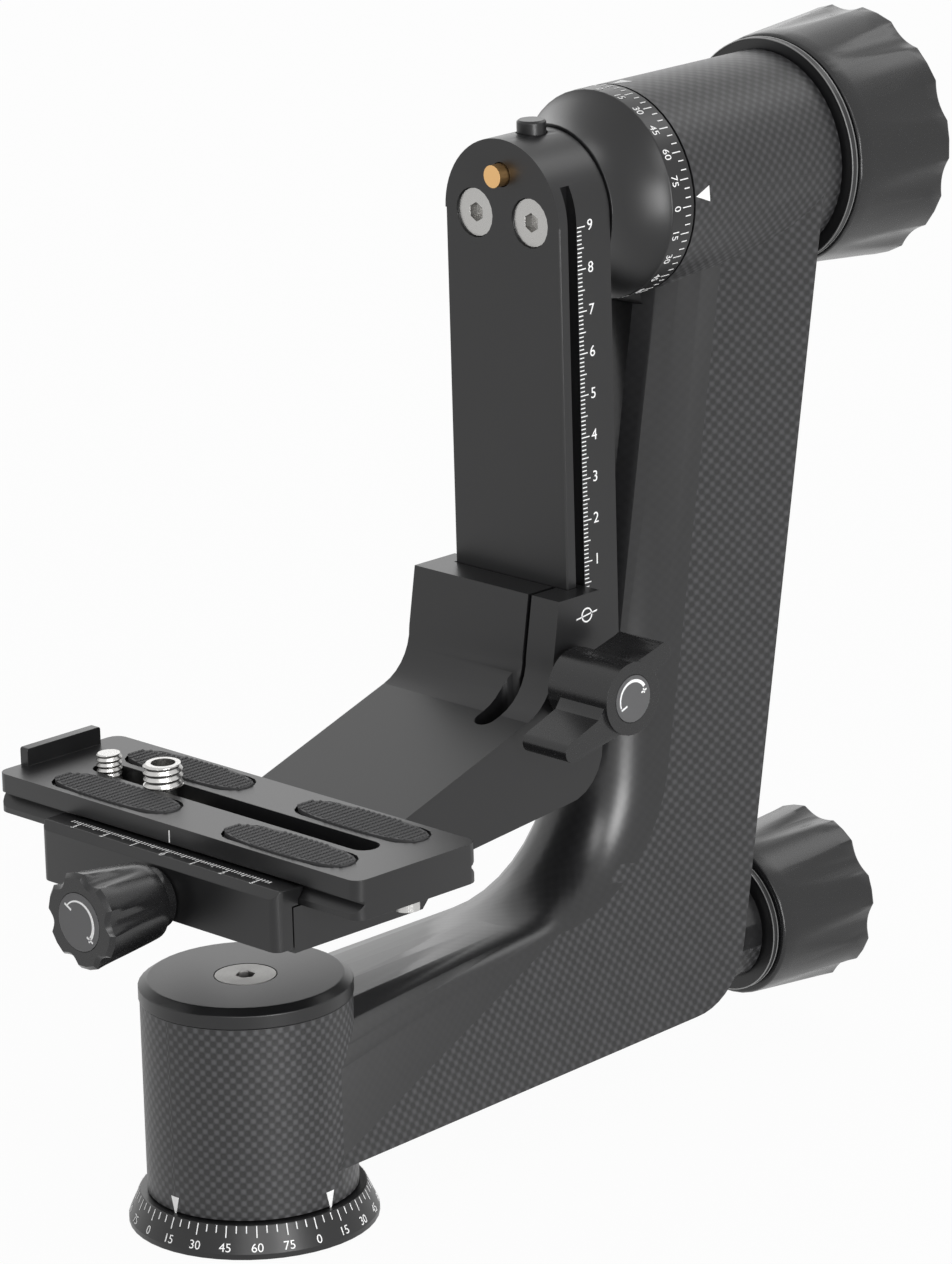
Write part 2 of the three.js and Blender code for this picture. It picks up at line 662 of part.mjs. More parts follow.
// Cap on the pan tube and its centre screw
const spigotR = PAN_BORE_R - FIT;
const capStart = PAN_TUBE_TOP_Z + FIT;
const capProfile = [
  [spigotR - CAP_SPIGOT_WALL, CAP_SPIGOT_Z], [spigotR, CAP_SPIGOT_Z], [spigotR, capStart],
  [CAP_R, capStart], [CAP_R, CAP_CHAMFER_Z], [CAP_TOP_R, CAP_TOP_Z], [0, CAP_TOP_Z],
  [0, CAP_FLOOR_Z], [spigotR - CAP_SPIGOT_WALL, CAP_FLOOR_Z], [spigotR - CAP_SPIGOT_WALL, CAP_SPIGOT_Z],
];
const capScrewSeatZ = CAP_TOP_Z - CAP_SCREW_HEAD_H;
const cap = turned(capProfile, 'z', FACETS_LARGE, PAN_CENTRE)
  .subtract(rod('z', CAP_SCREW_R + FIT, capScrewSeatZ, CAP_TOP_Z + CUT_PAST, PAN_CENTRE, FACETS_MEDIUM))
  .subtract(rod('z', CAP_SCREW_SHANK_R + FIT, CAP_HOLE_Z - CUT_PAST, CAP_TOP_Z, PAN_CENTRE, FACETS_SMALL));
place('pan_cap', cap, SATIN_BLACK);

const capScrewProfile = [
  [0, CAP_SCREW_SHANK_Z], [CAP_SCREW_SHANK_R, CAP_SCREW_SHANK_Z], [CAP_SCREW_SHANK_R, capScrewSeatZ + FIT],
  [CAP_SCREW_R, capScrewSeatZ + FIT], [CAP_SCREW_R, CAP_TOP_Z], [0, CAP_TOP_Z],
];
const capScrew = turned(capScrewProfile, 'z', FACETS_MEDIUM, PAN_CENTRE)
  .subtract(hexSocket('z', SCREW_SOCKET_R, CAP_TOP_Z - SCREW_SOCKET_DEEP, CAP_TOP_Z + CUT_PAST, PAN_CENTRE));
place('cap_screw', capScrew, STEEL);

// Pan brake: shoe and push rod through the lower arm
const shoeCut = rod(
  'z', SPINDLE_R + PAN_SHOE_GAP, STUB_Z - PAN_SHOE_R - CUT_PAST, STUB_Z + PAN_SHOE_R + CUT_PAST, PAN_CENTRE,
  FACETS_LARGE,
);
const shoe = rod('x', PAN_SHOE_R, 0, PAN_SHOE_END_X, STUB_CENTRE, FACETS_SMALL).subtract(shoeCut)
  .subtract(block(-CUT_PAST, SPINDLE_R * HALF_SHARE, -PAN_SHOE_R - FIT, PAN_SHOE_R + FIT, 0, PAN_TUBE_TOP_Z));
place('pan_brake_shoe', shoe, PLASTIC);
const pushRod = rod('x', ROD_R, PAN_SHOE_END_X + FIT, ROD_END_X, STUB_CENTRE, FACETS_SMALL);
place('pan_push_rod', pushRod, STEEL);

const lockBush = ring(
  'x', PAN_STUD_R + FIT, STUB_BORE_R - FIT, PAN_LOCK_BUSH_START_X, STUB_END_X, STUB_CENTRE, FACETS_MEDIUM,
);
place('pan_lock_bush', lockBush, BRASS);

// Pan lock knob with its stud and collar
const panStud = rod('x', PAN_STUD_R, PAN_STUD_START_X, PAN_STUD_END_X, STUB_CENTRE, FACETS_SMALL);
place('pan_lock_stud', panStud, STEEL);
const panCollar = ring(
  'x', PAN_STUD_R + FIT, PAN_COLLAR_R, PAN_COLLAR_X, PAN_COLLAR_X + PAN_COLLAR_T - FIT, STUB_CENTRE,
  FACETS_LARGE,
);
place('pan_knob_collar', panCollar, SATIN_BLACK);
const panKnob = flutedKnob(
  PAN_KNOB_X, PAN_KNOB_END_X, PAN_KNOB_R, PAN_KNOB_OUT_R, PAN_KNOB_FLUTES, PAN_KNOB_SCOOP,
  PAN_KNOB_FLUTE_SHARE, STUB_Z, PAN_KNOB_PHASE_DEG,
).subtract(rod(
  'x', PAN_STUD_R + FIT, PAN_KNOB_X - CUT_PAST, PAN_STUD_END_X + FIT, STUB_CENTRE, FACETS_SMALL,
));
place('pan_lock_knob', panKnob, KNOB_BLACK);

// Tilt hub with the degree ring
const flare = [];
for (let i = 0; i <= HUB_FLARE_STEPS; i += 1) {
  const share = i / HUB_FLARE_STEPS;
  const swell = share ** HUB_FLARE_POWER;
  flare.push([
    HUB_NECK_R + (HUB_RING_R - HUB_RING_EDGE - HUB_NECK_R) * swell,
    HUB_NECK_X + (HUB_RING_X - HUB_NECK_X) * share,
  ]);
}
const hubProfile = [
  [0, HUB_START_X], [HUB_NECK_R, HUB_START_X], ...flare, [HUB_RING_R, HUB_RING_X + HUB_RING_EDGE],
  [HUB_RING_R, HUB_END_X],
  [FRICTION_R + FIT, HUB_END_X], [FRICTION_R + FIT, HUB_RECESS_X], [0, HUB_RECESS_X],
];
let hub = turned(hubProfile, 'x', FACETS_LARGE, TILT_CENTRE)
  .subtract(rod('x', AXLE_R + FIT, AXLE_START_X, HUB_END_X + CUT_PAST, TILT_CENTRE, FACETS_MEDIUM));
[-SCREW_Y, SCREW_Y].forEach((y) => {
  hub = hub.subtract(rod(
    'x', SCREW_SHANK_R + FIT, HUB_START_X - CUT_PAST, SCREW_END_X + FIT, [0, y, TILT_Z], FACETS_SMALL,
  ));
});
place('tilt_hub', hub, SATIN_BLACK);

const axleProfile = [
  [0, AXLE_START_X + FIT], [AXLE_R, AXLE_START_X + FIT], [AXLE_R, AXLE_END_X],
  [AXLE_STUD_R, AXLE_END_X], [AXLE_STUD_R, AXLE_STUD_END_X], [0, AXLE_STUD_END_X],
];
place('tilt_axle', turned(axleProfile, 'x', FACETS_MEDIUM, TILT_CENTRE), STEEL);
const friction = ring(
  'x', AXLE_R + FIT, FRICTION_R, HUB_RECESS_X + FIT, HUB_RECESS_X + FRICTION_T, TILT_CENTRE,
  FACETS_HIDDEN,
);
place('tilt_friction_washer', friction, PLASTIC);
const innerBush = ring(
  'x', AXLE_R + FIT, TILT_BORE_R - FIT, TILT_BUSH_IN_X, TILT_BUSH_IN_X + TILT_BUSH_T, TILT_CENTRE,
  FACETS_HIDDEN,
);
place('inner_tilt_bush', innerBush, BRONZE);
const outerBush = ring(
  'x', AXLE_R + FIT, TILT_BORE_R - FIT, TILT_BUSH_OUT_X, TILT_BUSH_OUT_X + TILT_BUSH_T, TILT_CENTRE,
  FACETS_HIDDEN,
);
place('outer_tilt_bush', outerBush, BRONZE);
const AXLE_NUT_X = AXLE_END_X + FIT;
const axleNut = slottedNut(
  'x', AXLE_STUD_R + FIT, AXLE_NUT_R, AXLE_NUT_X, AXLE_NUT_X + AXLE_NUT_T, TILT_CENTRE, FACETS_MEDIUM,
);
place('tilt_axle_nut', axleNut, STEEL);

// Tilt lock: end plug, brake shoe, stud, collar and knob
const plug = ring('x', TILT_STUD_R + FIT, PLUG_R, PLUG_START_X, TILT_TUBE_END_X, TILT_CENTRE, FACETS_HIDDEN);
place('tilt_tube_plug', plug, SATIN_BLACK);
const SHOE_X = AXLE_STUD_END_X + TILT_SHOE_GAP;
const tiltShoe = rod('x', TILT_SHOE_R, SHOE_X, SHOE_X + TILT_SHOE_T, TILT_CENTRE, FACETS_MEDIUM);
place('tilt_brake_shoe', tiltShoe, PLASTIC);
const tiltStudX = SHOE_X + TILT_SHOE_T + FIT;
const tiltStud = rod('x', TILT_STUD_R, tiltStudX, TILT_STUD_END_X, TILT_CENTRE, FACETS_SMALL);
place('tilt_lock_stud', tiltStud, STEEL);
const tiltCollar = ring(
  'x', TILT_STUD_R + FIT, TILT_COLLAR_R, TILT_COLLAR_X, TILT_COLLAR_X + TILT_COLLAR_T - FIT, TILT_CENTRE,
  FACETS_LARGE,
);
place('tilt_knob_collar', tiltCollar, SATIN_BLACK);
const tiltKnob = flutedKnob(
  TILT_KNOB_X, TILT_KNOB_END_X, TILT_KNOB_R, TILT_KNOB_OUT_R, TILT_KNOB_FLUTES, TILT_KNOB_SCOOP,
  TILT_KNOB_FLUTE_SHARE, TILT_Z, TILT_KNOB_PHASE_DEG,
).subtract(rod(
  'x', TILT_STUD_R + FIT, TILT_KNOB_X - CUT_PAST, TILT_STUD_END_X + FIT, TILT_CENTRE, FACETS_SMALL,
));
place('tilt_lock_knob', tiltKnob, KNOB_BLACK);

// Rail: a straight bar with a round top, grooved on both sides
const railOutline = [
  [-RAIL_HALF_W, RAIL_BOTTOM_Z], [RAIL_HALF_W, RAIL_BOTTOM_Z],
  ...arc(0, TILT_Z, RAIL_HALF_W, 0, 180, FACETS_MEDIUM),
];
let rail = alongX(railOutline, RAIL_FRONT_X, RAIL_BACK_X);
const screwFaceX = RAIL_FRONT_X + SCREW_INSET;
const frontEdgeCut = (side) => {
  const y = side * RAIL_HALF_W;
  const points = [
    [RAIL_FRONT_X - CUT_PAST, y + side * CUT_PAST],
    [RAIL_FRONT_X - CUT_PAST, y - side * (RAIL_EDGE + CUT_PAST)],
    [RAIL_FRONT_X + RAIL_EDGE + CUT_PAST, y + side * CUT_PAST],
  ];
  return alongZ(side > 0 ? points : points.reverse(), RAIL_BOTTOM_Z - CUT_PAST, TILT_Z);
};
[-1, 1].forEach((side) => {
  const inner = side * (RAIL_HALF_W - RAIL_GROOVE_DEEP);
  const outer = side * (RAIL_HALF_W + CUT_PAST);
  const groove = block(
    RAIL_GROOVE_X, RAIL_GROOVE_END_X, Math.min(inner, outer), Math.max(inner, outer),
    RAIL_BOTTOM_Z - CUT_PAST, RAIL_GROOVE_TOP_Z,
  );
  rail = rail.subtract(groove).subtract(frontEdgeCut(side));
  const centre = [0, side * SCREW_Y, TILT_Z];
  const seat = [
    [0, RAIL_FRONT_X - CUT_PAST], [SCREW_HEAD_R + FIT, RAIL_FRONT_X - CUT_PAST],
    [SCREW_HEAD_R + FIT, screwFaceX], [SCREW_SHANK_R + FIT, screwFaceX + SCREW_HEAD_H],
    [SCREW_SHANK_R + FIT, RAIL_BACK_X + CUT_PAST], [0, RAIL_BACK_X + CUT_PAST],
  ];
  rail = rail.subtract(turned(seat, 'x', FACETS_SMALL, centre));
});
const PIN_CENTRE = [0, 0, PIN_Z];
const BUTTON_CENTRE = [BUTTON_X, 0, 0];
const BUTTON_TOP_Z = TILT_Z + RAIL_HALF_W + BUTTON_PROUD;
const BUTTON_HEAD_Z = BUTTON_TOP_Z - BUTTON_HEAD_H;
const BUTTON_WELL_Z = BUTTON_HEAD_Z - BUTTON_WELL_DEEP;
const STEM_END_Z = PIN_Z - STEM_PAST_PIN;
const STEM_HOLE_Z = STEM_END_Z - STEM_HOLE_DEEP;
rail = rail
  .subtract(rod(
    'x', PIN_R + RUN_FIT, RAIL_FRONT_X - CUT_PAST, RAIL_BACK_X + CUT_PAST, PIN_CENTRE, FACETS_SMALL,
  ))
  .subtract(rod('z', BUTTON_R + RUN_FIT, BUTTON_WELL_Z, BUTTON_TOP_Z, BUTTON_CENTRE, FACETS_SMALL))
  .subtract(rod('z', STEM_R + RUN_FIT, STEM_HOLE_Z, BUTTON_WELL_Z + CUT_PAST, BUTTON_CENTRE, FACETS_SMALL));
place('slide_rail', rail, SATIN_BLACK);

[['rail_screw_near', -SCREW_Y], ['rail_screw_far', SCREW_Y]].forEach(([name, y]) => {
  const centre = [0, y, TILT_Z];
  const profile = [
    [0, screwFaceX], [SCREW_HEAD_R, screwFaceX],
    [SCREW_SHANK_R, screwFaceX + SCREW_HEAD_H], [SCREW_SHANK_R, SCREW_END_X], [0, SCREW_END_X],
  ];
  const socket = hexSocket(
    'x', SCREW_SOCKET_R, screwFaceX - CUT_PAST, screwFaceX + SCREW_SOCKET_DEEP, centre,
  );
  place(name, turned(profile, 'x', FACETS_SMALL, centre).subtract(socket), STEEL);
});

// Stop pin with a slanting slot, pushed back by the button's stem
const rampSlope = PIN_TRAVEL / BUTTON_TRAVEL;
const stemFaceH = (STEM_R + STEM_R) / rampSlope;
const rampTop = PIN_Z + PIN_R + CUT_PAST;
const slotFrontX = BUTTON_X - STEM_R - RUN_FIT - PIN_TRAVEL;
const rampX = (z) => BUTTON_X + STEM_R + FIT + (z - STEM_END_Z - stemFaceH) * rampSlope;
const rampZ = (x) => STEM_END_Z + stemFaceH + (x - BUTTON_X - STEM_R - FIT) / rampSlope;
const slotOutline = [[slotFrontX, rampZ(slotFrontX)], [rampX(rampTop), rampTop], [slotFrontX, rampTop]];
const pin = rod('x', PIN_R, RAIL_FRONT_X - PIN_OUT, PIN_END_X, PIN_CENTRE, FACETS_SMALL)
  .subtract(alongY(slotOutline, -PIN_SLOT_W * HALF_SHARE, PIN_SLOT_W * HALF_SHARE));
place('stop_pin', pin, BRASS);

const stemCut = alongY([
  [BUTTON_X - STEM_R, STEM_END_Z], [BUTTON_X + STEM_R + CUT_PAST, STEM_END_Z],
  [BUTTON_X + STEM_R + CUT_PAST, STEM_END_Z + stemFaceH + CUT_PAST / rampSlope],
], -PIN_SLOT_W, PIN_SLOT_W);
const buttonProfile = [
  [0, STEM_END_Z], [STEM_R, STEM_END_Z], [STEM_R, BUTTON_HEAD_Z], [BUTTON_R, BUTTON_HEAD_Z],
  [BUTTON_R, BUTTON_TOP_Z - BUTTON_EDGE], [BUTTON_R - BUTTON_EDGE, BUTTON_TOP_Z],
  [0, BUTTON_TOP_Z],
];
const button = turned(buttonProfile, 'z', FACETS_SMALL, BUTTON_CENTRE).subtract(stemCut);
place('push_button', button, SATIN_BLACK);

class Coil extends THREE.Curve {
  getPoint(t, target = new THREE.Vector3()) {
    const angle = t * SPRING_COILS * Math.PI * 2;
    const low = BUTTON_WELL_Z + SPRING_WIRE_R + FIT;
    const high = BUTTON_HEAD_Z - SPRING_WIRE_R - FIT;
    return target.set(
      BUTTON_X + SPRING_R * Math.cos(angle), SPRING_R * Math.sin(angle), low + (high - low) * t,
    );
  }
}
const springGeometry = new THREE.TubeGeometry(
  new Coil(), SPRING_COILS * SPRING_STEPS_PER_COIL, SPRING_WIRE_R, SPRING_SIDES, false,
);
// Ring list of the tube, closed at both ends
function coilSolid(geometry) {
  const count = SPRING_SIDES;
  const points = geometry.attributes.position;
  const rings = [];
  for (let i = 0; i <= SPRING_COILS * SPRING_STEPS_PER_COIL; i += 1) {
    const line = [];
    for (let j = 0; j < count; j += 1) {
      const k = i * (count + 1) + j;
      line.push([points.getX(k), points.getY(k), points.getZ(k)]);
    }
    rings.push(line);
  }
  return skin(rings);
}
place('button_spring', coilSolid(springGeometry), STEEL);

// Carriage: a channel round the rail that bends forward into the clamp cradle
const slope = Math.tan(radians(CARRIAGE_SLOPE_DEG));
const bendSweep = 90 - CARRIAGE_SLOPE_DEG;
const bendX = CARRIAGE_WAIST_X - CARRIAGE_BEND_R;
const bendPoints = arc(
  bendX, CARRIAGE_WAIST_Z - CUT_PAST, CARRIAGE_BEND_R, 0, -bendSweep, CARRIAGE_BEND_STEPS,
);
const lastBend = bendPoints[bendPoints.length - 1];
const slopeEndZ = lastBend[1] - (lastBend[0] - CRADLE_REAR_X) * slope;
const cornerCentreX = CARRIAGE_BACK_X - CARRIAGE_CORNER_R;
const cornerCentreZ = CARRIAGE_BOTTOM_BACK_Z + CARRIAGE_CORNER_R;
const carriageOutline = [
  [CARRIAGE_BACK_X, CARRIAGE_TOP_Z], [CARRIAGE_FRONT_X, CARRIAGE_TOP_Z],
  ...bendPoints,
  [CRADLE_REAR_X, slopeEndZ], [CRADLE_REAR_X - CUT_PAST, slopeEndZ],
  [CRADLE_REAR_X - CUT_PAST, CRADLE_BOTTOM_Z],
  ...arc(cornerCentreX, cornerCentreZ, CARRIAGE_CORNER_R, -90, 0, CARRIAGE_CORNER_STEPS),
];
let carriage = alongY(carriageOutline.slice().reverse(), -CARRIAGE_HALF_W, CARRIAGE_HALF_W);
const channelGap = RAIL_HALF_W + RUN_FIT;
const channel = block(
  RAIL_FRONT_X - RUN_FIT, RAIL_GROOVE_X + RUN_FIT, -channelGap, channelGap,
  CRADLE_BOTTOM_Z, CARRIAGE_TOP_Z + CUT_PAST,
);
const lipGap = RAIL_HALF_W - RAIL_GROOVE_DEEP + RUN_FIT;
const mouth = block(
  RAIL_GROOVE_X, CARRIAGE_BACK_X + CUT_PAST, -lipGap, lipGap, CRADLE_BOTTOM_Z, CARRIAGE_TOP_Z + CUT_PAST,
);
// Clamp cradle with its fixed rear jaw
const rearJawX = PLATE_HALF_W + FIT;
const cradleOutline = [
  [CRADLE_FRONT_X, CRADLE_BOTTOM_Z], [CRADLE_REAR_X, CRADLE_BOTTOM_Z],
  [CRADLE_REAR_X, CLAMP_TOP_Z], [rearJawX, CLAMP_TOP_Z],
  [rearJawX - PLATE_GROOVE_DEEP + RUN_FIT, PLATE_GROOVE_TOP_Z - FIT],
  [rearJawX - PLATE_GROOVE_DEEP + RUN_FIT, PLATE_GROOVE_Z],
  [rearJawX, PLATE_DOVETAIL_Z], [rearJawX, CRADLE_FLOOR_Z], [CRADLE_FRONT_X, CRADLE_FLOOR_Z],
];
const cradle = alongY(cradleOutline, -CLAMP_HALF_L, CLAMP_HALF_L);
const slitTop = CARRIAGE_TOP_Z + CUT_PAST;
const slitStart = RELIEF_END_X - RELIEF_W * HALF_SHARE;
const slitNearY = -SLIT_Y - SLIT_W * HALF_SHARE;
carriage = carriage.add(cradle)
  .subtract(channel)
  .subtract(mouth)
  .subtract(block(
    slitStart, RAIL_FRONT_X, -SLIT_Y - SLIT_W * HALF_SHARE, -SLIT_Y + SLIT_W * HALF_SHARE,
    CRADLE_BOTTOM_Z - CUT_PAST, slitTop,
  ))
  .subtract(alongZ(
    roundedBox(
      RELIEF_START_X, RELIEF_END_X, slitNearY, slitNearY + RELIEF_W,
      RELIEF_W * HALF_SHARE - WELD,
    ),
    CRADLE_BOTTOM_Z - CUT_PAST, CARRIAGE_WAIST_Z,
  ));
const WING_CENTRE = [WING_AXIS_X, 0, WING_AXIS_Z];
carriage = carriage
  .subtract(rod(
    'y', WING_STUD_R + FIT, -CARRIAGE_HALF_W - CUT_PAST, WING_STUD_END_Y + FIT, WING_CENTRE, FACETS_SMALL,
  ))
  .subtract(rod(
    'x', CLAMP_SCREW_R + FIT, CRADLE_FRONT_X - CUT_PAST, CLAMP_SCREW_END_X + FIT, CLAMP_CENTRE, FACETS_SMALL,
  ));
// The cradle's two ends are cut away below, behind the clamp
[-CLAMP_HALF_L, CARRIAGE_HALF_W].forEach((start) => {
  const end = start + CLAMP_HALF_L - CARRIAGE_HALF_W;
  const outline = [
    [CRADLE_CUT_X, CRADLE_BOTTOM_Z - CUT_PAST], [CRADLE_REAR_X + CUT_PAST, CRADLE_BOTTOM_Z - CUT_PAST],
    [CRADLE_REAR_X + CUT_PAST, CRADLE_CUT_Z], [CRADLE_REAR_X, CRADLE_CUT_Z], [CRADLE_CUT_X, CRADLE_BOTTOM_Z],
  ];
  const from = start < 0 ? start - CUT_PAST : start;
  const to = start < 0 ? end : end + CUT_PAST;
  carriage = carriage.subtract(alongY(outline, from, to));
});
[-JAW_PIN_Y, JAW_PIN_Y].forEach((y) => {
  carriage = carriage.subtract(rod(
    'x', JAW_PIN_R + FIT, CRADLE_FRONT_X - CUT_PAST, JAW_PIN_END_X + FIT, [0, y, JAW_PIN_Z], FACETS_SMALL,
  ));
});
place('carriage', carriage, SATIN_BLACK);

// Wing knob on the near side of the carriage
const wingStart = -CARRIAGE_HALF_W - FIT;
const washer = ring(
  'y', WING_STUD_R + FIT, WASHER_R, wingStart - WASHER_T, wingStart, WING_CENTRE, FACETS_SMALL,
);
place('wing_washer', washer, STEEL);
const wingStudY = -WING_FAR_Y + WASHER_T + WASHER_T;
const wingStud = rod('y', WING_STUD_R, wingStudY, WING_STUD_END_Y, WING_CENTRE, FACETS_SMALL);
place('wing_stud', wingStud, STEEL);

const wingDirection = (degrees, length) => [
  WING_AXIS_X + length * Math.cos(radians(degrees)), WING_AXIS_Z + length * Math.sin(radians(degrees)),
];
// One wing: straight on one side, waisted on the other, with a round tip
function wing(degrees, length) {
  const [tx, tz] = wingDirection(degrees, length - WING_TIP_R);
  const tip = arc(tx, tz, WING_TIP_R, degrees - 90, degrees + 90, FACETS_ROUND_END);
  const root = arc(WING_AXIS_X, WING_AXIS_Z, WING_ROOT_R, degrees + 90, degrees + 270, FACETS_ROUND_END);
  const [wx, wz] = wingDirection(degrees, WING_WAIST_ALONG);
  const side = radians(degrees - 90);
  const waist = [wx + WING_WAIST_R * Math.cos(side), wz + WING_WAIST_R * Math.sin(side)];
  return alongY([...tip, ...root, waist], -WING_FAR_Y + WASHER_T, -WING_BACK_Y);
}
const wingHub = rod('y', WING_HUB_R, -WING_FAR_Y, -WING_NEAR_Y + WASHER_T, WING_CENTRE, FACETS_MEDIUM);
const wingKnob = wingHub
  .add(wing(WING_LEAN_DEG + WING_TIP_BEND_DEG, WING_SHORT))
  .add(wing(WING_LEAN_DEG + 180, WING_LONG))
  .subtract(rod(
    'y', WING_STUD_R + FIT, wingStudY - FIT, -WING_NEAR_Y + CUT_PAST, WING_CENTRE, FACETS_SMALL,
  ))
  .subtract(rod(
    'y', WING_LABEL_R + FIT, -WING_FAR_Y - CUT_PAST, -WING_FAR_Y + LABEL_SUNK + FIT, WING_CENTRE,
    FACETS_MEDIUM,
  ));
place('wing_knob', wingKnob, KNOB_BLACK);
const wingLabel = rod(
  'y', WING_LABEL_R, -WING_FAR_Y + LABEL_SUNK - LABEL_T, -WING_FAR_Y + LABEL_SUNK, WING_CENTRE, FACETS_MEDIUM,
);
place('wing_knob_disc', wingLabel, LABEL_GREY);

// Clamp jaw that moves along x, on two guide pins
const jawBackX = CRADLE_FRONT_X - RUN_FIT;
const jawGripX = -PLATE_HALF_W - FIT;
const jawOutline = [
  [JAW_FRONT_X, JAW_BOTTOM_Z], [jawBackX, JAW_BOTTOM_Z], [jawBackX, CRADLE_FLOOR_Z + RUN_FIT],
  [jawGripX, CRADLE_FLOOR_Z + RUN_FIT], [jawGripX, PLATE_DOVETAIL_Z],
  [jawGripX + PLATE_GROOVE_DEEP - RUN_FIT, PLATE_GROOVE_Z],
  [jawGripX + PLATE_GROOVE_DEEP - RUN_FIT, PLATE_GROOVE_TOP_Z - FIT],
  [jawGripX, CLAMP_TOP_Z], [JAW_FRONT_X + JAW_EDGE, CLAMP_TOP_Z], [JAW_FRONT_X, CLAMP_TOP_Z - JAW_EDGE],
];
const jawEnds = alongZ(
  roundedBox(JAW_FRONT_X, -PLATE_HALF_W + PLATE_CORNER_R, -CLAMP_HALF_L, CLAMP_HALF_L, JAW_CORNER_R),
  JAW_BOTTOM_Z - CUT_PAST, CLAMP_TOP_Z + CUT_PAST,
);
let jaw = alongY(jawOutline, -CLAMP_HALF_L, CLAMP_HALF_L)
  .intersect(jawEnds)
  .subtract(rod('x', CLAMP_SCREW_R + FIT, JAW_FRONT_X - CUT_PAST, jawGripX, CLAMP_CENTRE, FACETS_SMALL));
[-JAW_PIN_Y, JAW_PIN_Y].forEach((y) => {
  jaw = jaw.subtract(rod(
    'x', JAW_PIN_R + FIT, JAW_PIN_START_X - FIT, jawGripX, [0, y, JAW_PIN_Z], FACETS_SMALL,
  ));
});
place('clamp_jaw', jaw, SATIN_BLACK);
[['jaw_guide_pin_near', -JAW_PIN_Y], ['jaw_guide_pin_far', JAW_PIN_Y]].forEach(([name, y]) => {
  place(name, rod('x', JAW_PIN_R, JAW_PIN_START_X, JAW_PIN_END_X, [0, y, JAW_PIN_Z], FACETS_SMALL), STEEL);
});

const clampScrewEnd = CLAMP_SCREW_END_X - JAW_TRAVEL;
const clampScrew = rod(
  'x', CLAMP_SCREW_R, CLAMP_KNOB_SOCKET_X, clampScrewEnd, CLAMP_CENTRE, FACETS_SMALL,
);
place('clamp_screw', clampScrew, STEEL);
const clampKnob = flutedKnob(
  CLAMP_KNOB_X, CLAMP_KNOB_END_X, CLAMP_KNOB_BACK_R, CLAMP_KNOB_FRONT_R, CLAMP_KNOB_FLUTES, CLAMP_KNOB_SCOOP,
  CLAMP_KNOB_FLUTE_SHARE, CLAMP_AXIS_Z, CLAMP_KNOB_PHASE_DEG,
)
  .add(rod('x', CLAMP_NECK_R, CLAMP_KNOB_X - CUT_PAST, CLAMP_NECK_X, CLAMP_CENTRE, FACETS_MEDIUM))
  .subtract(rod(
    'x', CLAMP_SCREW_R + FIT, CLAMP_KNOB_SOCKET_X - FIT, CLAMP_NECK_X + CUT_PAST, CLAMP_CENTRE, FACETS_SMALL,
  ))
  .subtract(rod(
    'x', CLAMP_LABEL_R + FIT, CLAMP_KNOB_END_X - CUT_PAST, CLAMP_KNOB_END_X + LABEL_SUNK + FIT, CLAMP_CENTRE,
    FACETS_MEDIUM,
  ));
place('clamp_knob', clampKnob, KNOB_BLACK);
const clampLabel = rod(
  'x', CLAMP_LABEL_R, CLAMP_KNOB_END_X + LABEL_SUNK - LABEL_T, CLAMP_KNOB_END_X + LABEL_SUNK, CLAMP_CENTRE,
  FACETS_MEDIUM,
);
place('clamp_knob_disc', clampLabel, LABEL_GREY);

// Quick-release plate with its dovetail, slot and end lip
const plateHalf = (side) => [
  [side * PLATE_HALF_W, PLATE_BOTTOM_Z], [side * PLATE_HALF_W, PLATE_DOVETAIL_Z],
  [side * (PLATE_HALF_W - PLATE_GROOVE_DEEP), PLATE_GROOVE_Z],
  [side * (PLATE_HALF_W - PLATE_GROOVE_DEEP), PLATE_GROOVE_TOP_Z],
  [side * PLATE_HALF_W, PLATE_SIDE_Z], [side * PLATE_HALF_W, PLATE_TOP_Z],
];
const plateOutline = plateHalf(1).concat(plateHalf(-1).reverse());
const plateEnds = alongZ(
  roundedBox(-PLATE_HALF_W, PLATE_HALF_W, PLATE_START_Y, PLATE_END_Y, PLATE_CORNER_R),
  PLATE_BOTTOM_Z - CUT_PAST, PLATE_TOP_Z + CUT_PAST,
);
const lip = alongY(
  roundedBox(-LIP_HALF_W, LIP_HALF_W, PLATE_TOP_Z - LIP_T, LIP_TOP_Z, LIP_CORNER_R),
  PLATE_END_Y - LIP_T, PLATE_END_Y,
);
let plate = alongY(plateOutline, PLATE_START_Y, PLATE_END_Y)
  .intersect(plateEnds)
  .add(lip)
  .subtract(alongZ(
    capsule(0, SLOT_HALF_W, SLOT_START_Y, SLOT_END_Y), PLATE_BOTTOM_Z - CUT_PAST, PLATE_TOP_Z + CUT_PAST,
  ))
  .subtract(alongZ(
    capsule(0, SLOT_CHANNEL_HALF_W, SLOT_START_Y - SLOT_CHANNEL_PAST, SLOT_END_Y + SLOT_CHANNEL_PAST),
    PLATE_BOTTOM_Z - CUT_PAST, SLOT_CHANNEL_Z,
  ));
const padPlaces = [
  ['rubber_pad_near_left', -PAD_X, PAD_START_Y, PAD_END_Y],
  ['rubber_pad_far_left', PAD_X, PAD_START_Y, PAD_END_Y],
  ['rubber_pad_near_right', -PAD_X, -PAD_END_Y, -PAD_START_Y],
  ['rubber_pad_far_right', PAD_X, -PAD_END_Y, -PAD_START_Y],
];
padPlaces.forEach(([, x, from, to]) => {
  plate = plate.subtract(alongZ(
    capsule(x, PAD_HALF_W + FIT, from - FIT, to + FIT), PAD_SEAT_Z, PLATE_TOP_Z + CUT_PAST,
  ));
});
[-SAFETY_Y, SAFETY_Y].forEach((y) => {
  plate = plate.subtract(rod(
    'z', SAFETY_SHANK_R + FIT, PLATE_BOTTOM_Z - CUT_PAST, SAFETY_TOP_Z + FIT, [0, y, 0], FACETS_SMALL,
  ));
});
place('quick_release_plate', plate, SATIN_BLACK);
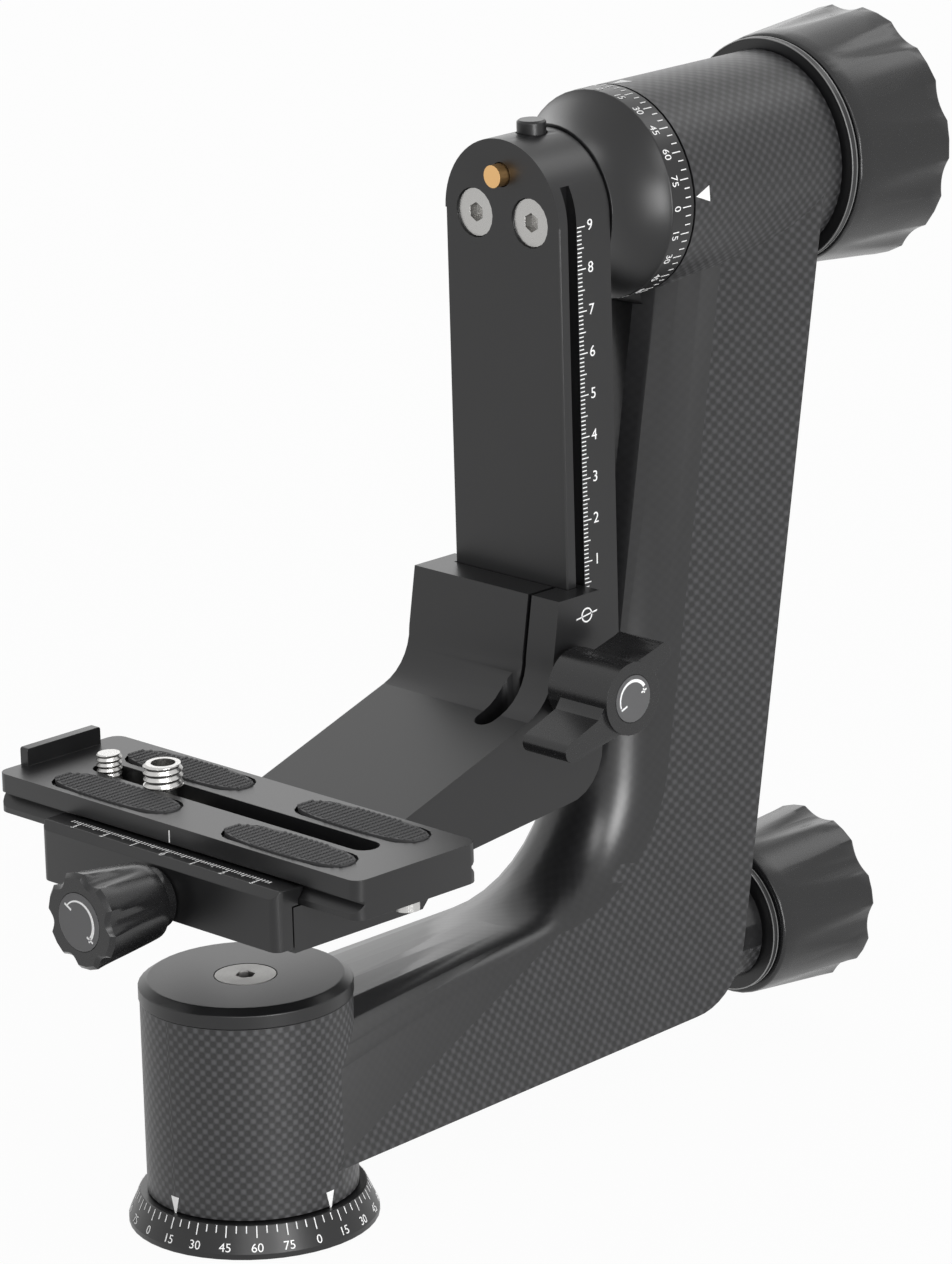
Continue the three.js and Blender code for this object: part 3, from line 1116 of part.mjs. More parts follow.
padPlaces.forEach(([name, x, from, to]) => {
  place(name, alongZ(capsule(x, PAD_HALF_W, from, to), PAD_SEAT_Z + FIT, PAD_TOP_Z), RUBBER);
});
[['safety_screw_near', -SAFETY_Y], ['safety_screw_far', SAFETY_Y]].forEach(([name, y]) => {
  const head = PLATE_BOTTOM_Z - FIT;
  const profile = [
    [0, head - SAFETY_HEAD_H], [SAFETY_HEAD_R, head - SAFETY_HEAD_H], [SAFETY_HEAD_R, head],
    [SAFETY_SHANK_R, head], [SAFETY_SHANK_R, SAFETY_TOP_Z], [0, SAFETY_TOP_Z],
  ];
  place(name, turned(profile, 'z', FACETS_SMALL, [0, y, 0]), STEEL);
});

// Camera screws with their washers, in the slot
function cameraScrew(name, washerName, y, neckR, r, topZ, holeR) {
  const centre = [0, y, 0];
  const headTopZ = CAMERA_HEAD_Z + CAMERA_HEAD_H;
  const neck = r > neckR
    ? [[neckR, headTopZ], [neckR, PLATE_TOP_Z + FIT], [r, PLATE_TOP_Z + FIT]]
    : [[r, headTopZ]];
  const profile = [
    [0, CAMERA_HEAD_Z], [CAMERA_HEAD_R, CAMERA_HEAD_Z], [CAMERA_HEAD_R, headTopZ],
    ...neck, [r, topZ - CAMERA_TIP], [r - CAMERA_TIP, topZ], [0, topZ],
  ];
  let screw = turned(profile, 'z', FACETS_MEDIUM, centre).subtract(block(
    -CAMERA_HEAD_R - FIT, CAMERA_HEAD_R + FIT, y - COIN_SLOT_W * HALF_SHARE, y + COIN_SLOT_W * HALF_SHARE,
    CAMERA_HEAD_Z - CUT_PAST, CAMERA_HEAD_Z + COIN_SLOT_DEEP,
  ));
  if (holeR > 0) {
    const holeZ = topZ - THREE_EIGHTHS_HOLE_DEEP;
    screw = screw.subtract(rod('z', holeR, holeZ, topZ + CUT_PAST, centre, FACETS_MEDIUM));
  }
  place(name, screw, STEEL);
  const low = headTopZ + FIT;
  const high = low + CAMERA_WASHER_T;
  place(washerName, ring('z', neckR + RUN_FIT, CAMERA_WASHER_R, low, high, centre, FACETS_MEDIUM), PLASTIC);
}
cameraScrew(
  'quarter_inch_screw', 'quarter_inch_screw_washer', QUARTER_Y, QUARTER_R, QUARTER_R, QUARTER_TOP_Z, 0,
);
cameraScrew(
  'three_eighths_screw', 'three_eighths_screw_washer', THREE_EIGHTHS_Y, THREE_EIGHTHS_NECK_R, THREE_EIGHTHS_R,
  THREE_EIGHTHS_TOP_Z, THREE_EIGHTHS_HOLE_R,
);

export default group;
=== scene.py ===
# %% [markdown]
# A gimbal head carries a long lens beside its arm, so that the lens swings freely about two axes.
# The solids come in already placed, as a fixed frame in metres. This script gives them finishes and
# adds what is too fine for the solids: broken edges, threads, beaded pads, printing, and painted
# highlights on the collar rims.

# %% Load the frame
import bpy
import bmesh
import json
import math
from mathutils import Matrix, Vector


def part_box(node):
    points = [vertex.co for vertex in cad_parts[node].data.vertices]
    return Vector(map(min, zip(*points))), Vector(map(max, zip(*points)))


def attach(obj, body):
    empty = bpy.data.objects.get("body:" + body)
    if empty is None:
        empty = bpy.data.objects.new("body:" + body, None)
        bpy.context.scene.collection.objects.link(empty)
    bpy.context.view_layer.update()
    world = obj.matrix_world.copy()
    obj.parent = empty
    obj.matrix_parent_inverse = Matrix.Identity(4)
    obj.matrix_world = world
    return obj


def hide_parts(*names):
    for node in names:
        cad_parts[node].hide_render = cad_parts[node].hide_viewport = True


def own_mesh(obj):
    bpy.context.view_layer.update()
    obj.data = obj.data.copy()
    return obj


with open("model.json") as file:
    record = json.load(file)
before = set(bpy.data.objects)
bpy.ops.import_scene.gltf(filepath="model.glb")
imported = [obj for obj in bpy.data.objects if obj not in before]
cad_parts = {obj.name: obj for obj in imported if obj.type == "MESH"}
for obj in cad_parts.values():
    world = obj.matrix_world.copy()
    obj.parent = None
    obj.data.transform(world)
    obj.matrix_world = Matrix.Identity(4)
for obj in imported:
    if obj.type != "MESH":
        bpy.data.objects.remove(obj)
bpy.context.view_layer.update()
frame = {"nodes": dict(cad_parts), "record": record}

# %% [markdown]
# The camera stands about 1.5 m away with a long lens, as in a shop photograph. A long lens keeps
# parallel edges nearly parallel. Its place and turn were worked out from the printed scales, whose
# ticks are a known centimetre apart, so the render lines up with the photograph without any shift.

# %% Camera
mm = 0.001
turn_deg, drop_deg, roll_deg = 45.78, 16.697, -1.609
lens_mm, sensor_mm, sight_m = 185.02, 36.0, 20.0
camera_place = Vector((-0.9393, -1.0441, 0.5599))
turn, drop, roll = (math.radians(a) for a in (turn_deg, drop_deg, roll_deg))
look = Vector((math.cos(drop) * math.cos(turn), math.cos(drop) * math.sin(turn), -math.sin(drop)))
across = Vector((math.sin(turn), -math.cos(turn), 0.0))
down = look.cross(across)
right = math.cos(roll) * across - math.sin(roll) * down
up = -(math.sin(roll) * across + math.cos(roll) * down)
camera_data = bpy.data.cameras.new("view")
camera_data.sensor_width = sensor_mm
camera_data.lens = lens_mm
camera_data.clip_end = sight_m
camera = bpy.data.objects.new("view", camera_data)
bpy.context.scene.collection.objects.link(camera)
axes = Matrix((right, up, -look)).transposed().to_4x4()
camera.matrix_world = Matrix.Translation(camera_place) @ axes
bpy.context.scene.camera = camera
bpy.context.scene.view_settings.view_transform = "Standard"
print("camera with a lens of", lens_mm, "mm at", tuple(camera_place))

# %% [markdown]
# Colours are picked as the eye sees them, in hex. Blender works with linear light, so one function
# turns a hex value into linear numbers with the sRGB curve. A second function adds a node, sets it
# and wires it.

# %% Colour and node helpers
def linear(code):
    parts = [int(code[i:i + 2], 16) / 255 for i in (1, 3, 5)]
    return tuple(c / 12.92 if c <= 0.04045 else ((c + 0.055) / 1.055) ** 2.4 for c in parts) + (1.0,)


def add_node(tree, kind, settings=None, wires=None):
    node = tree.nodes.new(kind)
    for name, value in (settings or {}).items():
        setattr(node, name, value)
    for socket, value in (wires or {}).items():
        if isinstance(value, bpy.types.NodeSocket):
            tree.links.new(value, node.inputs[socket])
        else:
            node.inputs[socket].default_value = value
    return node


def new_finish(name):
    finish = bpy.data.materials.new(name)
    finish.use_nodes = True
    finish.node_tree.nodes.clear()
    return finish, finish.node_tree


def seen_directly(tree):
    ray = add_node(tree, "ShaderNodeLightPath")
    direct = add_node(tree, "ShaderNodeMath", {"operation": "MAXIMUM"},
                      {0: ray.outputs["Is Camera Ray"], 1: ray.outputs["Is Transmission Ray"]})
    seen = add_node(tree, "ShaderNodeMath", {"operation": "MAXIMUM"},
                    {0: direct.outputs[0], 1: ray.outputs["Is Glossy Ray"]})
    return seen.outputs[0]


print("dark grey in linear light:", [round(c, 4) for c in linear("#171718")[:3]])

# %% [markdown]
# Shop light is soft: a large panel from the upper left, an upright strip on the left that puts a sheen
# on the bend of the arm, and two weak panels from the right and from behind. The world and the floor
# are seen as white by the camera and in reflections, while they light the object only as a pale room
# would. The floor keeps a small share of its own shading, which is the soft shadow under the base.

# %% Floor and light
def panel(name, place, target, size, power):
    data = bpy.data.lights.new(name, "AREA")
    data.shape = "RECTANGLE"
    data.size, data.size_y = size
    data.energy = power
    light = bpy.data.objects.new(name, data)
    bpy.context.scene.collection.objects.link(light)
    light.visible_camera = False
    light.location = place
    light.rotation_euler = (Vector(target) - Vector(place)).to_track_quat("-Z", "Y").to_euler()


panel("key_panel", (-1.3, -1.32, 1.17), (0.05, 0, 0.12), (0.7, 0.7), 8)
panel("edge_strip", (-0.17, -0.7, 0.17), (0.12, 0, 0.14), (0.2, 0.4), 3.2)
panel("top_right_panel", (1.1, -0.25, 1.25), (0.1, 0, 0.2), (0.55, 0.55), 2)
panel("back_panel", (1.15, 1.2, 0.75), (0.08, 0, 0.12), (1.6, 1.1), 4)

room_light, backdrop_light = 0.45, 1.0
world = bpy.data.worlds.new("studio")
bpy.context.scene.world = world
world.use_nodes = True
world.node_tree.nodes.clear()
tree = world.node_tree
plain = add_node(tree, "ShaderNodeBackground", None, {"Color": linear("#ffffff"), "Strength": room_light})
white = add_node(tree, "ShaderNodeBackground", None,
                 {"Color": linear("#ffffff"), "Strength": backdrop_light})
mixed = add_node(tree, "ShaderNodeMixShader", None,
                 {0: seen_directly(tree), 1: plain.outputs[0], 2: white.outputs[0]})
add_node(tree, "ShaderNodeOutputWorld", None, {"Surface": mixed.outputs[0]})

floor_white_share, floor_size_m, floor_gap_mm = 0.96, 8, 0.3
floor_finish, tree = new_finish("pale_floor")
shader = add_node(tree, "ShaderNodeBsdfPrincipled", None,
                  {"Base Color": linear("#d2d2d2"), "Roughness": 0.9})
glow = add_node(tree, "ShaderNodeEmission", None, {"Color": linear("#ffffff"), "Strength": backdrop_light})
share = add_node(tree, "ShaderNodeMath", {"operation": "MULTIPLY"},
                 {0: seen_directly(tree), 1: floor_white_share})
mixed = add_node(tree, "ShaderNodeMixShader", None,
                 {0: share.outputs[0], 1: shader.outputs[0], 2: glow.outputs[0]})
add_node(tree, "ShaderNodeOutputMaterial", None, {"Surface": mixed.outputs[0]})
bm = bmesh.new()
bmesh.ops.create_grid(bm, x_segments=1, y_segments=1, size=floor_size_m)
mesh = bpy.data.meshes.new("floor")
bm.to_mesh(mesh)
bm.free()
mesh.transform(Matrix.Translation((0, 0, -floor_gap_mm * mm)))
floor = bpy.data.objects.new("floor", mesh)
bpy.context.scene.collection.objects.link(floor)
mesh.materials.append(floor_finish)
print("a white room with", len(bpy.data.lights), "lamps")

# %% [markdown]
# Nearly every metal part is aluminium, blasted with fine grit and anodised black. The grit leaves a
# very fine tooth that spreads highlights, and the oxide layer is dark and slightly glossy. The tooth
# is really about 0.05 mm across. It is drawn at 0.4 mm so that it shows at this distance. Where hands
# rub, the oxide is a shade paler, which a slow cloud of noise gives. Rubber, acetal and ink are made
# by the same function with other colours and tooth.

# %% Anodised aluminium
wear_cloud_mm, tooth_gloss_swing, tooth_strength = 14, 0.02, 0.25


def anodised(name, colour, worn, roughness, tooth_mm, depth_mm):
    finish, tree = new_finish(name)
    place = add_node(tree, "ShaderNodeTexCoord")
    grain = add_node(tree, "ShaderNodeTexNoise", None,
                     {"Vector": place.outputs["Object"], "Scale": 1 / (tooth_mm * mm), "Detail": 2.0})
    cloud = add_node(tree, "ShaderNodeTexNoise", None,
                     {"Vector": place.outputs["Object"], "Scale": 1 / (wear_cloud_mm * mm), "Detail": 3.0})
    tint = add_node(tree, "ShaderNodeMix", {"data_type": "RGBA"},
                    {0: cloud.outputs["Fac"], 6: linear(colour), 7: linear(worn)})
    gloss = add_node(tree, "ShaderNodeMapRange", None,
                     {"Value": grain.outputs["Fac"], "To Min": roughness - tooth_gloss_swing,
                      "To Max": roughness + tooth_gloss_swing})
    bump = add_node(tree, "ShaderNodeBump", None,
                    {"Height": grain.outputs["Fac"], "Strength": tooth_strength, "Distance": depth_mm * mm})
    shader = add_node(tree, "ShaderNodeBsdfPrincipled", None,
                      {"Base Color": tint.outputs[2], "Metallic": 0.0, "Roughness": gloss.outputs[0],
                       "Normal": bump.outputs[0]})
    add_node(tree, "ShaderNodeOutputMaterial", None, {"Surface": shader.outputs[0]})
    return finish


satin_black = anodised("anodised_aluminium_satin_black", "#121213", "#171718", 0.36, 0.4, 0.012)
knob_black = anodised("anodised_aluminium_knob_black", "#151516", "#19191a", 0.27, 0.4, 0.0015)
grey_disc = anodised("anodised_aluminium_grey_disc", "#525253", "#5a5a5b", 0.45, 0.4, 0.01)
rubber = anodised("moulded_rubber_black", "#3b3b3c", "#444445", 0.6, 0.3, 0.01)
acetal = anodised("turned_acetal_natural", "#d8d5cb", "#cfcbbf", 0.5, 0.5, 0.01)
white_paint = anodised("screen_print_white", "#ffffff", "#f6f6f6", 0.6, 0.3, 0.004)
print("finishes for blasted, moulded and printed surfaces")

# %% [markdown]
# The screws, pins and studs are turned from bar. A lathe tool leaves fine rings round the axis, and
# they stretch every highlight into a fan. The rings are really under 0.05 mm apart. They are drawn
# 0.3 mm apart so that they can be seen. The two rail screws share one finish: the size of y, without
# its sign, folds the far screw onto the near one.

# %% Turned steel and brass
ring_mm, ring_depth_mm, ring_strength = 0.3, 0.012, 0.8
soil_mm, soil_gloss_swing = 2, 0.06


def turned(name, colour, roughness, centre, axes, fold=False):
    finish, tree = new_finish(name)
    place = add_node(tree, "ShaderNodeTexCoord")
    source = place.outputs["Object"]
    if fold:
        source = add_node(tree, "ShaderNodeVectorMath", {"operation": "ABSOLUTE"}, {0: source}).outputs[0]
    offset = add_node(tree, "ShaderNodeVectorMath", {"operation": "SUBTRACT"},
                      {0: source, 1: tuple(c * mm for c in centre)})
    flat = add_node(tree, "ShaderNodeVectorMath", {"operation": "MULTIPLY"}, {0: offset.outputs[0], 1: axes})
    reach = add_node(tree, "ShaderNodeVectorMath", {"operation": "LENGTH"}, {0: flat.outputs[0]})
    turns = add_node(tree, "ShaderNodeMath", {"operation": "MULTIPLY"},
                     {0: reach.outputs["Value"], 1: 2 * math.pi / (ring_mm * mm)})
    rings = add_node(tree, "ShaderNodeMath", {"operation": "SINE"}, {0: turns.outputs[0]})
    soil = add_node(tree, "ShaderNodeTexNoise", None,
                    {"Vector": source, "Scale": 1 / (soil_mm * mm), "Detail": 3.0})
    gloss = add_node(tree, "ShaderNodeMapRange", None,
                     {"Value": soil.outputs["Fac"], "To Min": roughness - soil_gloss_swing,
                      "To Max": roughness + soil_gloss_swing})
    bump = add_node(tree, "ShaderNodeBump", None,
                    {"Height": rings.outputs[0], "Strength": ring_strength, "Distance": ring_depth_mm * mm})
    shader = add_node(tree, "ShaderNodeBsdfPrincipled", None,
                      {"Base Color": linear(colour), "Metallic": 1.0, "Roughness": gloss.outputs[0],
                       "Normal": bump.outputs[0]})
    add_node(tree, "ShaderNodeOutputMaterial", None, {"Surface": shader.outputs[0]})
    return finish


tilt_z, pin_z = 220.08, 230.3
rail_screw_y, rail_screw_drop = 9, 7.3
screw_steel = turned("turned_steel_rail_screws", "#b4b3b1", 0.27,
                     (0, rail_screw_y, tilt_z - rail_screw_drop), (0, 1, 1), fold=True)
cap_steel = turned("turned_steel_cap_screw", "#9c9b99", 0.42, (0, 0, 0), (1, 1, 0))
plain_steel = turned("turned_steel_bright", "#c4c3c1", 0.26, (0, 0, 0), (0, 1, 0))
brass = turned("turned_brass", "#e3b67c", 0.36, (0, 0, pin_z), (0, 1, 1))
print("finishes for turned metal")

# %% [markdown]
# The arm is carbon fibre, wrapped over a core as plain cloth: each tow goes over one and under one,
# and a tow is about 1.4 mm wide. Tows that lie across catch the light and tows that lie along stay
# dark, so the eye sees a checkerboard of soft dots under a matt clear coat. Two sine waves multiplied
# give that checkerboard. It follows a UV map in metres, which runs round both tubes and lies flat on
# the arm's sides. A value on each face says how clearly the cloth shows: it is clear on the tubes and
# sides, and hidden under smooth, glossier resin along the top and nose. The same value also darkens
# the colour along the top and nose, as painted shade for the dark reflection that the nose shows.

# %% Carbon cloth
tow_mm, tow_depth_mm = 1.42, 0.06
# the last value also sets how much painted shade darkens the colour on the arm's top and nose
cloth_on_pan_tube, cloth_on_tilt_tube, cloth_on_sides, cloth_and_painted_shade_on_resin = 1.0, 0.55, 0.6, 0.12
dot_low, dot_high = -0.42, 0.95
mottle_mm, mottle_swing = 3.2, 0.16
carbon, tree = new_finish("carbon_fibre_plain_weave_matt_coat")
spot = add_node(tree, "ShaderNodeUVMap", {"uv_map": "weave"})
parts = add_node(tree, "ShaderNodeSeparateXYZ", None, {0: spot.outputs[0]})
waves = []
for axis in (0, 1):
    phase = add_node(tree, "ShaderNodeMath", {"operation": "MULTIPLY"},
                     {0: parts.outputs[axis], 1: math.pi / (tow_mm * mm)})
    waves.append(add_node(tree, "ShaderNodeMath", {"operation": "SINE"}, {0: phase.outputs[0]}))
product = add_node(tree, "ShaderNodeMath", {"operation": "MULTIPLY"},
                   {0: waves[0].outputs[0], 1: waves[1].outputs[0]})
clear = add_node(tree, "ShaderNodeAttribute", {"attribute_name": "cloth_and_painted_shade"})
shown = add_node(tree, "ShaderNodeMath", {"operation": "MULTIPLY"},
                 {0: product.outputs[0], 1: clear.outputs["Fac"]})
dots = add_node(tree, "ShaderNodeMapRange", {"interpolation_type": "SMOOTHSTEP"},
                {"Value": shown.outputs[0], "From Min": dot_low, "From Max": dot_high})
place = add_node(tree, "ShaderNodeTexCoord")
cloud = add_node(tree, "ShaderNodeTexNoise", None,
                 {"Vector": place.outputs["Object"], "Scale": 1 / (mottle_mm * mm), "Detail": 3.0})
uneven = add_node(tree, "ShaderNodeMapRange", None,
                  {"Value": cloud.outputs["Fac"], "To Min": -mottle_swing, "To Max": mottle_swing})
level = add_node(tree, "ShaderNodeMath", {"operation": "ADD", "use_clamp": True},
                 {0: dots.outputs[0], 1: uneven.outputs[0]})
# painted shade: where the cloth hardly shows, on the top and nose, the colour drops to about a third,
# standing in for the dark reflection there
painted_top_and_nose_shade = add_node(tree, "ShaderNodeMapRange", None,
                {"Value": clear.outputs["Fac"], "From Max": cloth_on_sides, "To Min": 0.15})
level = add_node(tree, "ShaderNodeMath", {"operation": "MULTIPLY"}, {0: level.outputs[0], 1: painted_top_and_nose_shade.outputs[0]})
tint = add_node(tree, "ShaderNodeMix", {"data_type": "RGBA"},
                {0: level.outputs[0], 6: linear("#171718"), 7: linear("#474749")})
bump = add_node(tree, "ShaderNodeBump", None,
                {"Height": shown.outputs[0], "Strength": 0.5, "Distance": tow_depth_mm * mm})
matt = add_node(tree, "ShaderNodeMapRange", None,
                {"Value": clear.outputs["Fac"], "From Max": cloth_on_sides, "To Min": 0.22, "To Max": 0.5})
shader = add_node(tree, "ShaderNodeBsdfPrincipled", None,
                  {"Base Color": tint.outputs[2], "Metallic": 0.0, "Roughness": matt.outputs[0],
                   "Coat Weight": 0.15, "Coat Roughness": 0.32, "Normal": bump.outputs[0]})
add_node(tree, "ShaderNodeOutputMaterial", None, {"Surface": shader.outputs[0]})
print("carbon cloth with tows of", tow_mm, "mm")

# %% [markdown]
# The solids come as loose triangles with knife-sharp edges. Real machined edges are broken to about
# 0.3 mm, and that thin rounding is what catches the light. So each visible solid gets a merged copy
# with a Bevel modifier on its sharp edges. The copy keeps the solid's exact shape elsewhere, and it
# rides on the same body and stands for the solid.

# %% Copies with broken edges
body_of = {node: body for body, nodes in frame["record"]["behaviour"]["bodies"].items() for node in nodes}
slot_of = {part["node"]: part["material_slot"] for part in frame["record"]["subparts"]}
finishes = {"black_aluminium": satin_black, "knob_black": knob_black, "carbon": carbon,
            "steel": plain_steel, "brass": brass, "rubber": rubber, "white_plastic": acetal,
            "grey_disc": grey_disc}
own_finish = {"cap_screw": cap_steel, "rail_screw_near": screw_steel, "rail_screw_far": screw_steel}
for node, solid in frame["nodes"].items():
    solid.data.materials.clear()
    solid.data.materials.append(own_finish.get(node, finishes[slot_of[node]]))


def keep_piece(name, mesh, node, edge_mm, finish=None, smooth_deg=33):
    mesh.polygons.foreach_set("use_smooth", [True] * len(mesh.polygons))
    mesh.set_sharp_from_angle(angle=math.radians(smooth_deg))
    piece = bpy.data.objects.new(name, mesh)
    bpy.context.scene.collection.objects.link(piece)
    mesh.materials.append(finish or own_finish.get(node, finishes[slot_of[node]]))
    if edge_mm:
        bevel = piece.modifiers.new("broken_edge", "BEVEL")
        bevel.width = edge_mm * mm
        bevel.segments = 2
        bevel.limit_method = "ANGLE"
        bevel.angle_limit = math.radians(smooth_deg)
        bevel.harden_normals = True
    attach(piece, body_of[node])
    return piece


def merged(node):
    bm = bmesh.new()
    bm.from_mesh(frame["nodes"][node].data)
    bmesh.ops.remove_doubles(bm, verts=bm.verts, dist=0.001 * mm)
    bmesh.ops.dissolve_limit(bm, angle_limit=math.radians(0.4), verts=bm.verts, edges=bm.edges)
    return bm


def to_mesh(name, bm):
    mesh = bpy.data.meshes.new(name)
    bm.to_mesh(mesh)
    bm.free()
    return mesh


edges_mm = {"pan_base": 0.3, "pan_cap": 0.25, "cap_screw": 0.12, "pan_lock_knob": 0.35,
            "pan_knob_collar": 0.3, "tilt_hub": 0.25, "slide_rail": 0.45, "rail_screw_near": 0.12,
            "rail_screw_far": 0.12, "tilt_lock_knob": 0.35, "tilt_knob_collar": 0.3, "push_button": 0.15,
            "stop_pin": 0.2, "carriage": 0.9, "wing_washer": 0.15, "wing_knob": 0.5,
            "wing_knob_disc": 0.08, "clamp_jaw": 0.8, "clamp_knob": 0.35, "clamp_knob_disc": 0.08,
            "quick_release_plate": 0.35, "tripod_thread_insert": 0.15, "safety_screw_near": 0.1,
            "safety_screw_far": 0.1}
for node, edge in edges_mm.items():
    piece = keep_piece(node + "_finished", to_mesh(node + "_finished", merged(node)), node, edge)
    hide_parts(node)
print("broke the edges of", len(edges_mm), "solids")

# %% [markdown]
# The arm is one long moulding. Its copy gets the weave map: round the pan tube and the tilt tube the
# cloth follows the curve, and elsewhere it is laid flat along the side that the face points to. The
# nose is the rounded front between the two ridges, which come closer together as the arm leaves the
# pan tube.

# %% Carbon arm
pan_tube_r, tilt_tube_r = 24.55, 24.9
pan_r, tilt_r = pan_tube_r * mm, tilt_tube_r * mm
arm_half_w, ridge_half_w, ridge_bend_x = 24.1, 15.8, 86
on_tube_mm, on_nose_mm = 0.4, 0.6
facing_out, facing_side, facing_back = 0.95, 0.7, 0.2


def unrolled(rise, run, middle_rise, middle_run):
    here, middle = math.atan2(rise, run), math.atan2(middle_rise, middle_run)
    return here - round((here - middle) / (2 * math.pi)) * 2 * math.pi


bm = merged("carbon_arm")
weave = bm.loops.layers.uv.new("weave")
cloth = bm.faces.layers.float.new("cloth_and_painted_shade")
for face in bm.faces:
    c, n = face.calc_center_median(), face.normal
    rise = c.z - tilt_z * mm
    off_pan, off_tilt = abs(math.hypot(c.x, c.y) - pan_r), abs(math.hypot(c.y, rise) - tilt_r)
    pan_side = off_pan < on_tube_mm * mm and (n.x * c.x + n.y * c.y) / pan_r > facing_out
    tilt_side = off_tilt < on_tube_mm * mm and (n.y * c.y + n.z * rise) / tilt_r > facing_out
    narrowing = (arm_half_w - ridge_half_w) * min(1, c.x / (ridge_bend_x * mm))
    nose = (abs(c.y) < (arm_half_w - narrowing + on_nose_mm) * mm
            and n.x < facing_back and n.z > -facing_back)
    if pan_side:
        face[cloth] = cloth_on_pan_tube
    elif tilt_side:
        face[cloth] = cloth_on_tilt_tube
    elif abs(n.y) > facing_side and not nose:
        face[cloth] = cloth_on_sides
    else:
        face[cloth] = cloth_and_painted_shade_on_resin
    for loop in face.loops:
        p = loop.vert.co
        if pan_side:
            loop[weave].uv = (unrolled(p.y, p.x, c.y, c.x) * pan_r, p.z)
        elif tilt_side:
            loop[weave].uv = (unrolled(p.z - tilt_z * mm, p.y, rise, c.y) * tilt_r, p.x)
        elif abs(n.y) > facing_side:
            loop[weave].uv = (p.x, p.z)
        elif abs(n.x) > abs(n.z):
            loop[weave].uv = (p.y, p.z)
        else:
            loop[weave].uv = (p.y, p.x)
arm = keep_piece("carbon_arm_finished", to_mesh("carbon_arm_finished", bm), "carbon_arm", 0, carbon, 29)
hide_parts("carbon_arm")
print("carbon arm with", len(arm.data.polygons), "faces")

# %% [markdown]
# The collar behind each lock knob shows two thin bright lines, the highlights on its two rims. They
# are painted highlights: thin rings of pale grey metal, each a small circle spun round the knob's axis.

# %% Painted highlights on the collar rims
# painted highlight: grey metal rings stand in for the light caught by the collars' rounded rims
painted_highlight_metal = turned("grey_metal_painted_highlight_rims", "#8c8c8c", 0.3, (0, 0, 0), (1, 0, 0))
rim_r, rim_inset, pan_lock_z = 0.2, 0.08, 29.75


def painted_highlight_rims(name, node, axis_z):
    low, high = (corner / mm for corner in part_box(node))
    radius = (high.y - low.y) / 2 - rim_inset
    bm = bmesh.new()
    for x in (low.x + rim_inset, high.x - rim_inset):
        place = Matrix.Translation((x, 0, radius)) @ Matrix.Rotation(math.pi / 2, 4, "X")
        start = bmesh.ops.create_circle(bm, segments=10, radius=rim_r, matrix=place)
        rim = [e for e in bm.edges if all(v in start["verts"] for v in e.verts)]
        bmesh.ops.spin(bm, geom=start["verts"] + rim, cent=(0, 0, 0), axis=(1, 0, 0), angle=2 * math.pi,
                       steps=96, use_merge=True)
    bmesh.ops.recalc_face_normals(bm, faces=bm.faces[:])
    bmesh.ops.transform(bm, verts=bm.verts,
                        matrix=Matrix.Scale(mm, 4) @ Matrix.Translation((0, 0, axis_z)))
    keep_piece(name, to_mesh(name, bm), node, 0, painted_highlight_metal)


painted_highlight_rims("tilt_collar_painted_highlights", "tilt_knob_collar", tilt_z)
painted_highlight_rims("pan_collar_painted_highlights", "pan_knob_collar", pan_lock_z)
print("four bright rims")

# %% [markdown]
# The two camera screws are the parts that a hand knows best, so their threads are real. One pitch of
# the thread's outline is spun round the axis while it climbs, which gives an endless screw. Two cuts
# trim it to length, the ends are filled, and the tip is tapered as a die leaves it. Below the thread
# the solid's own neck and head are kept.

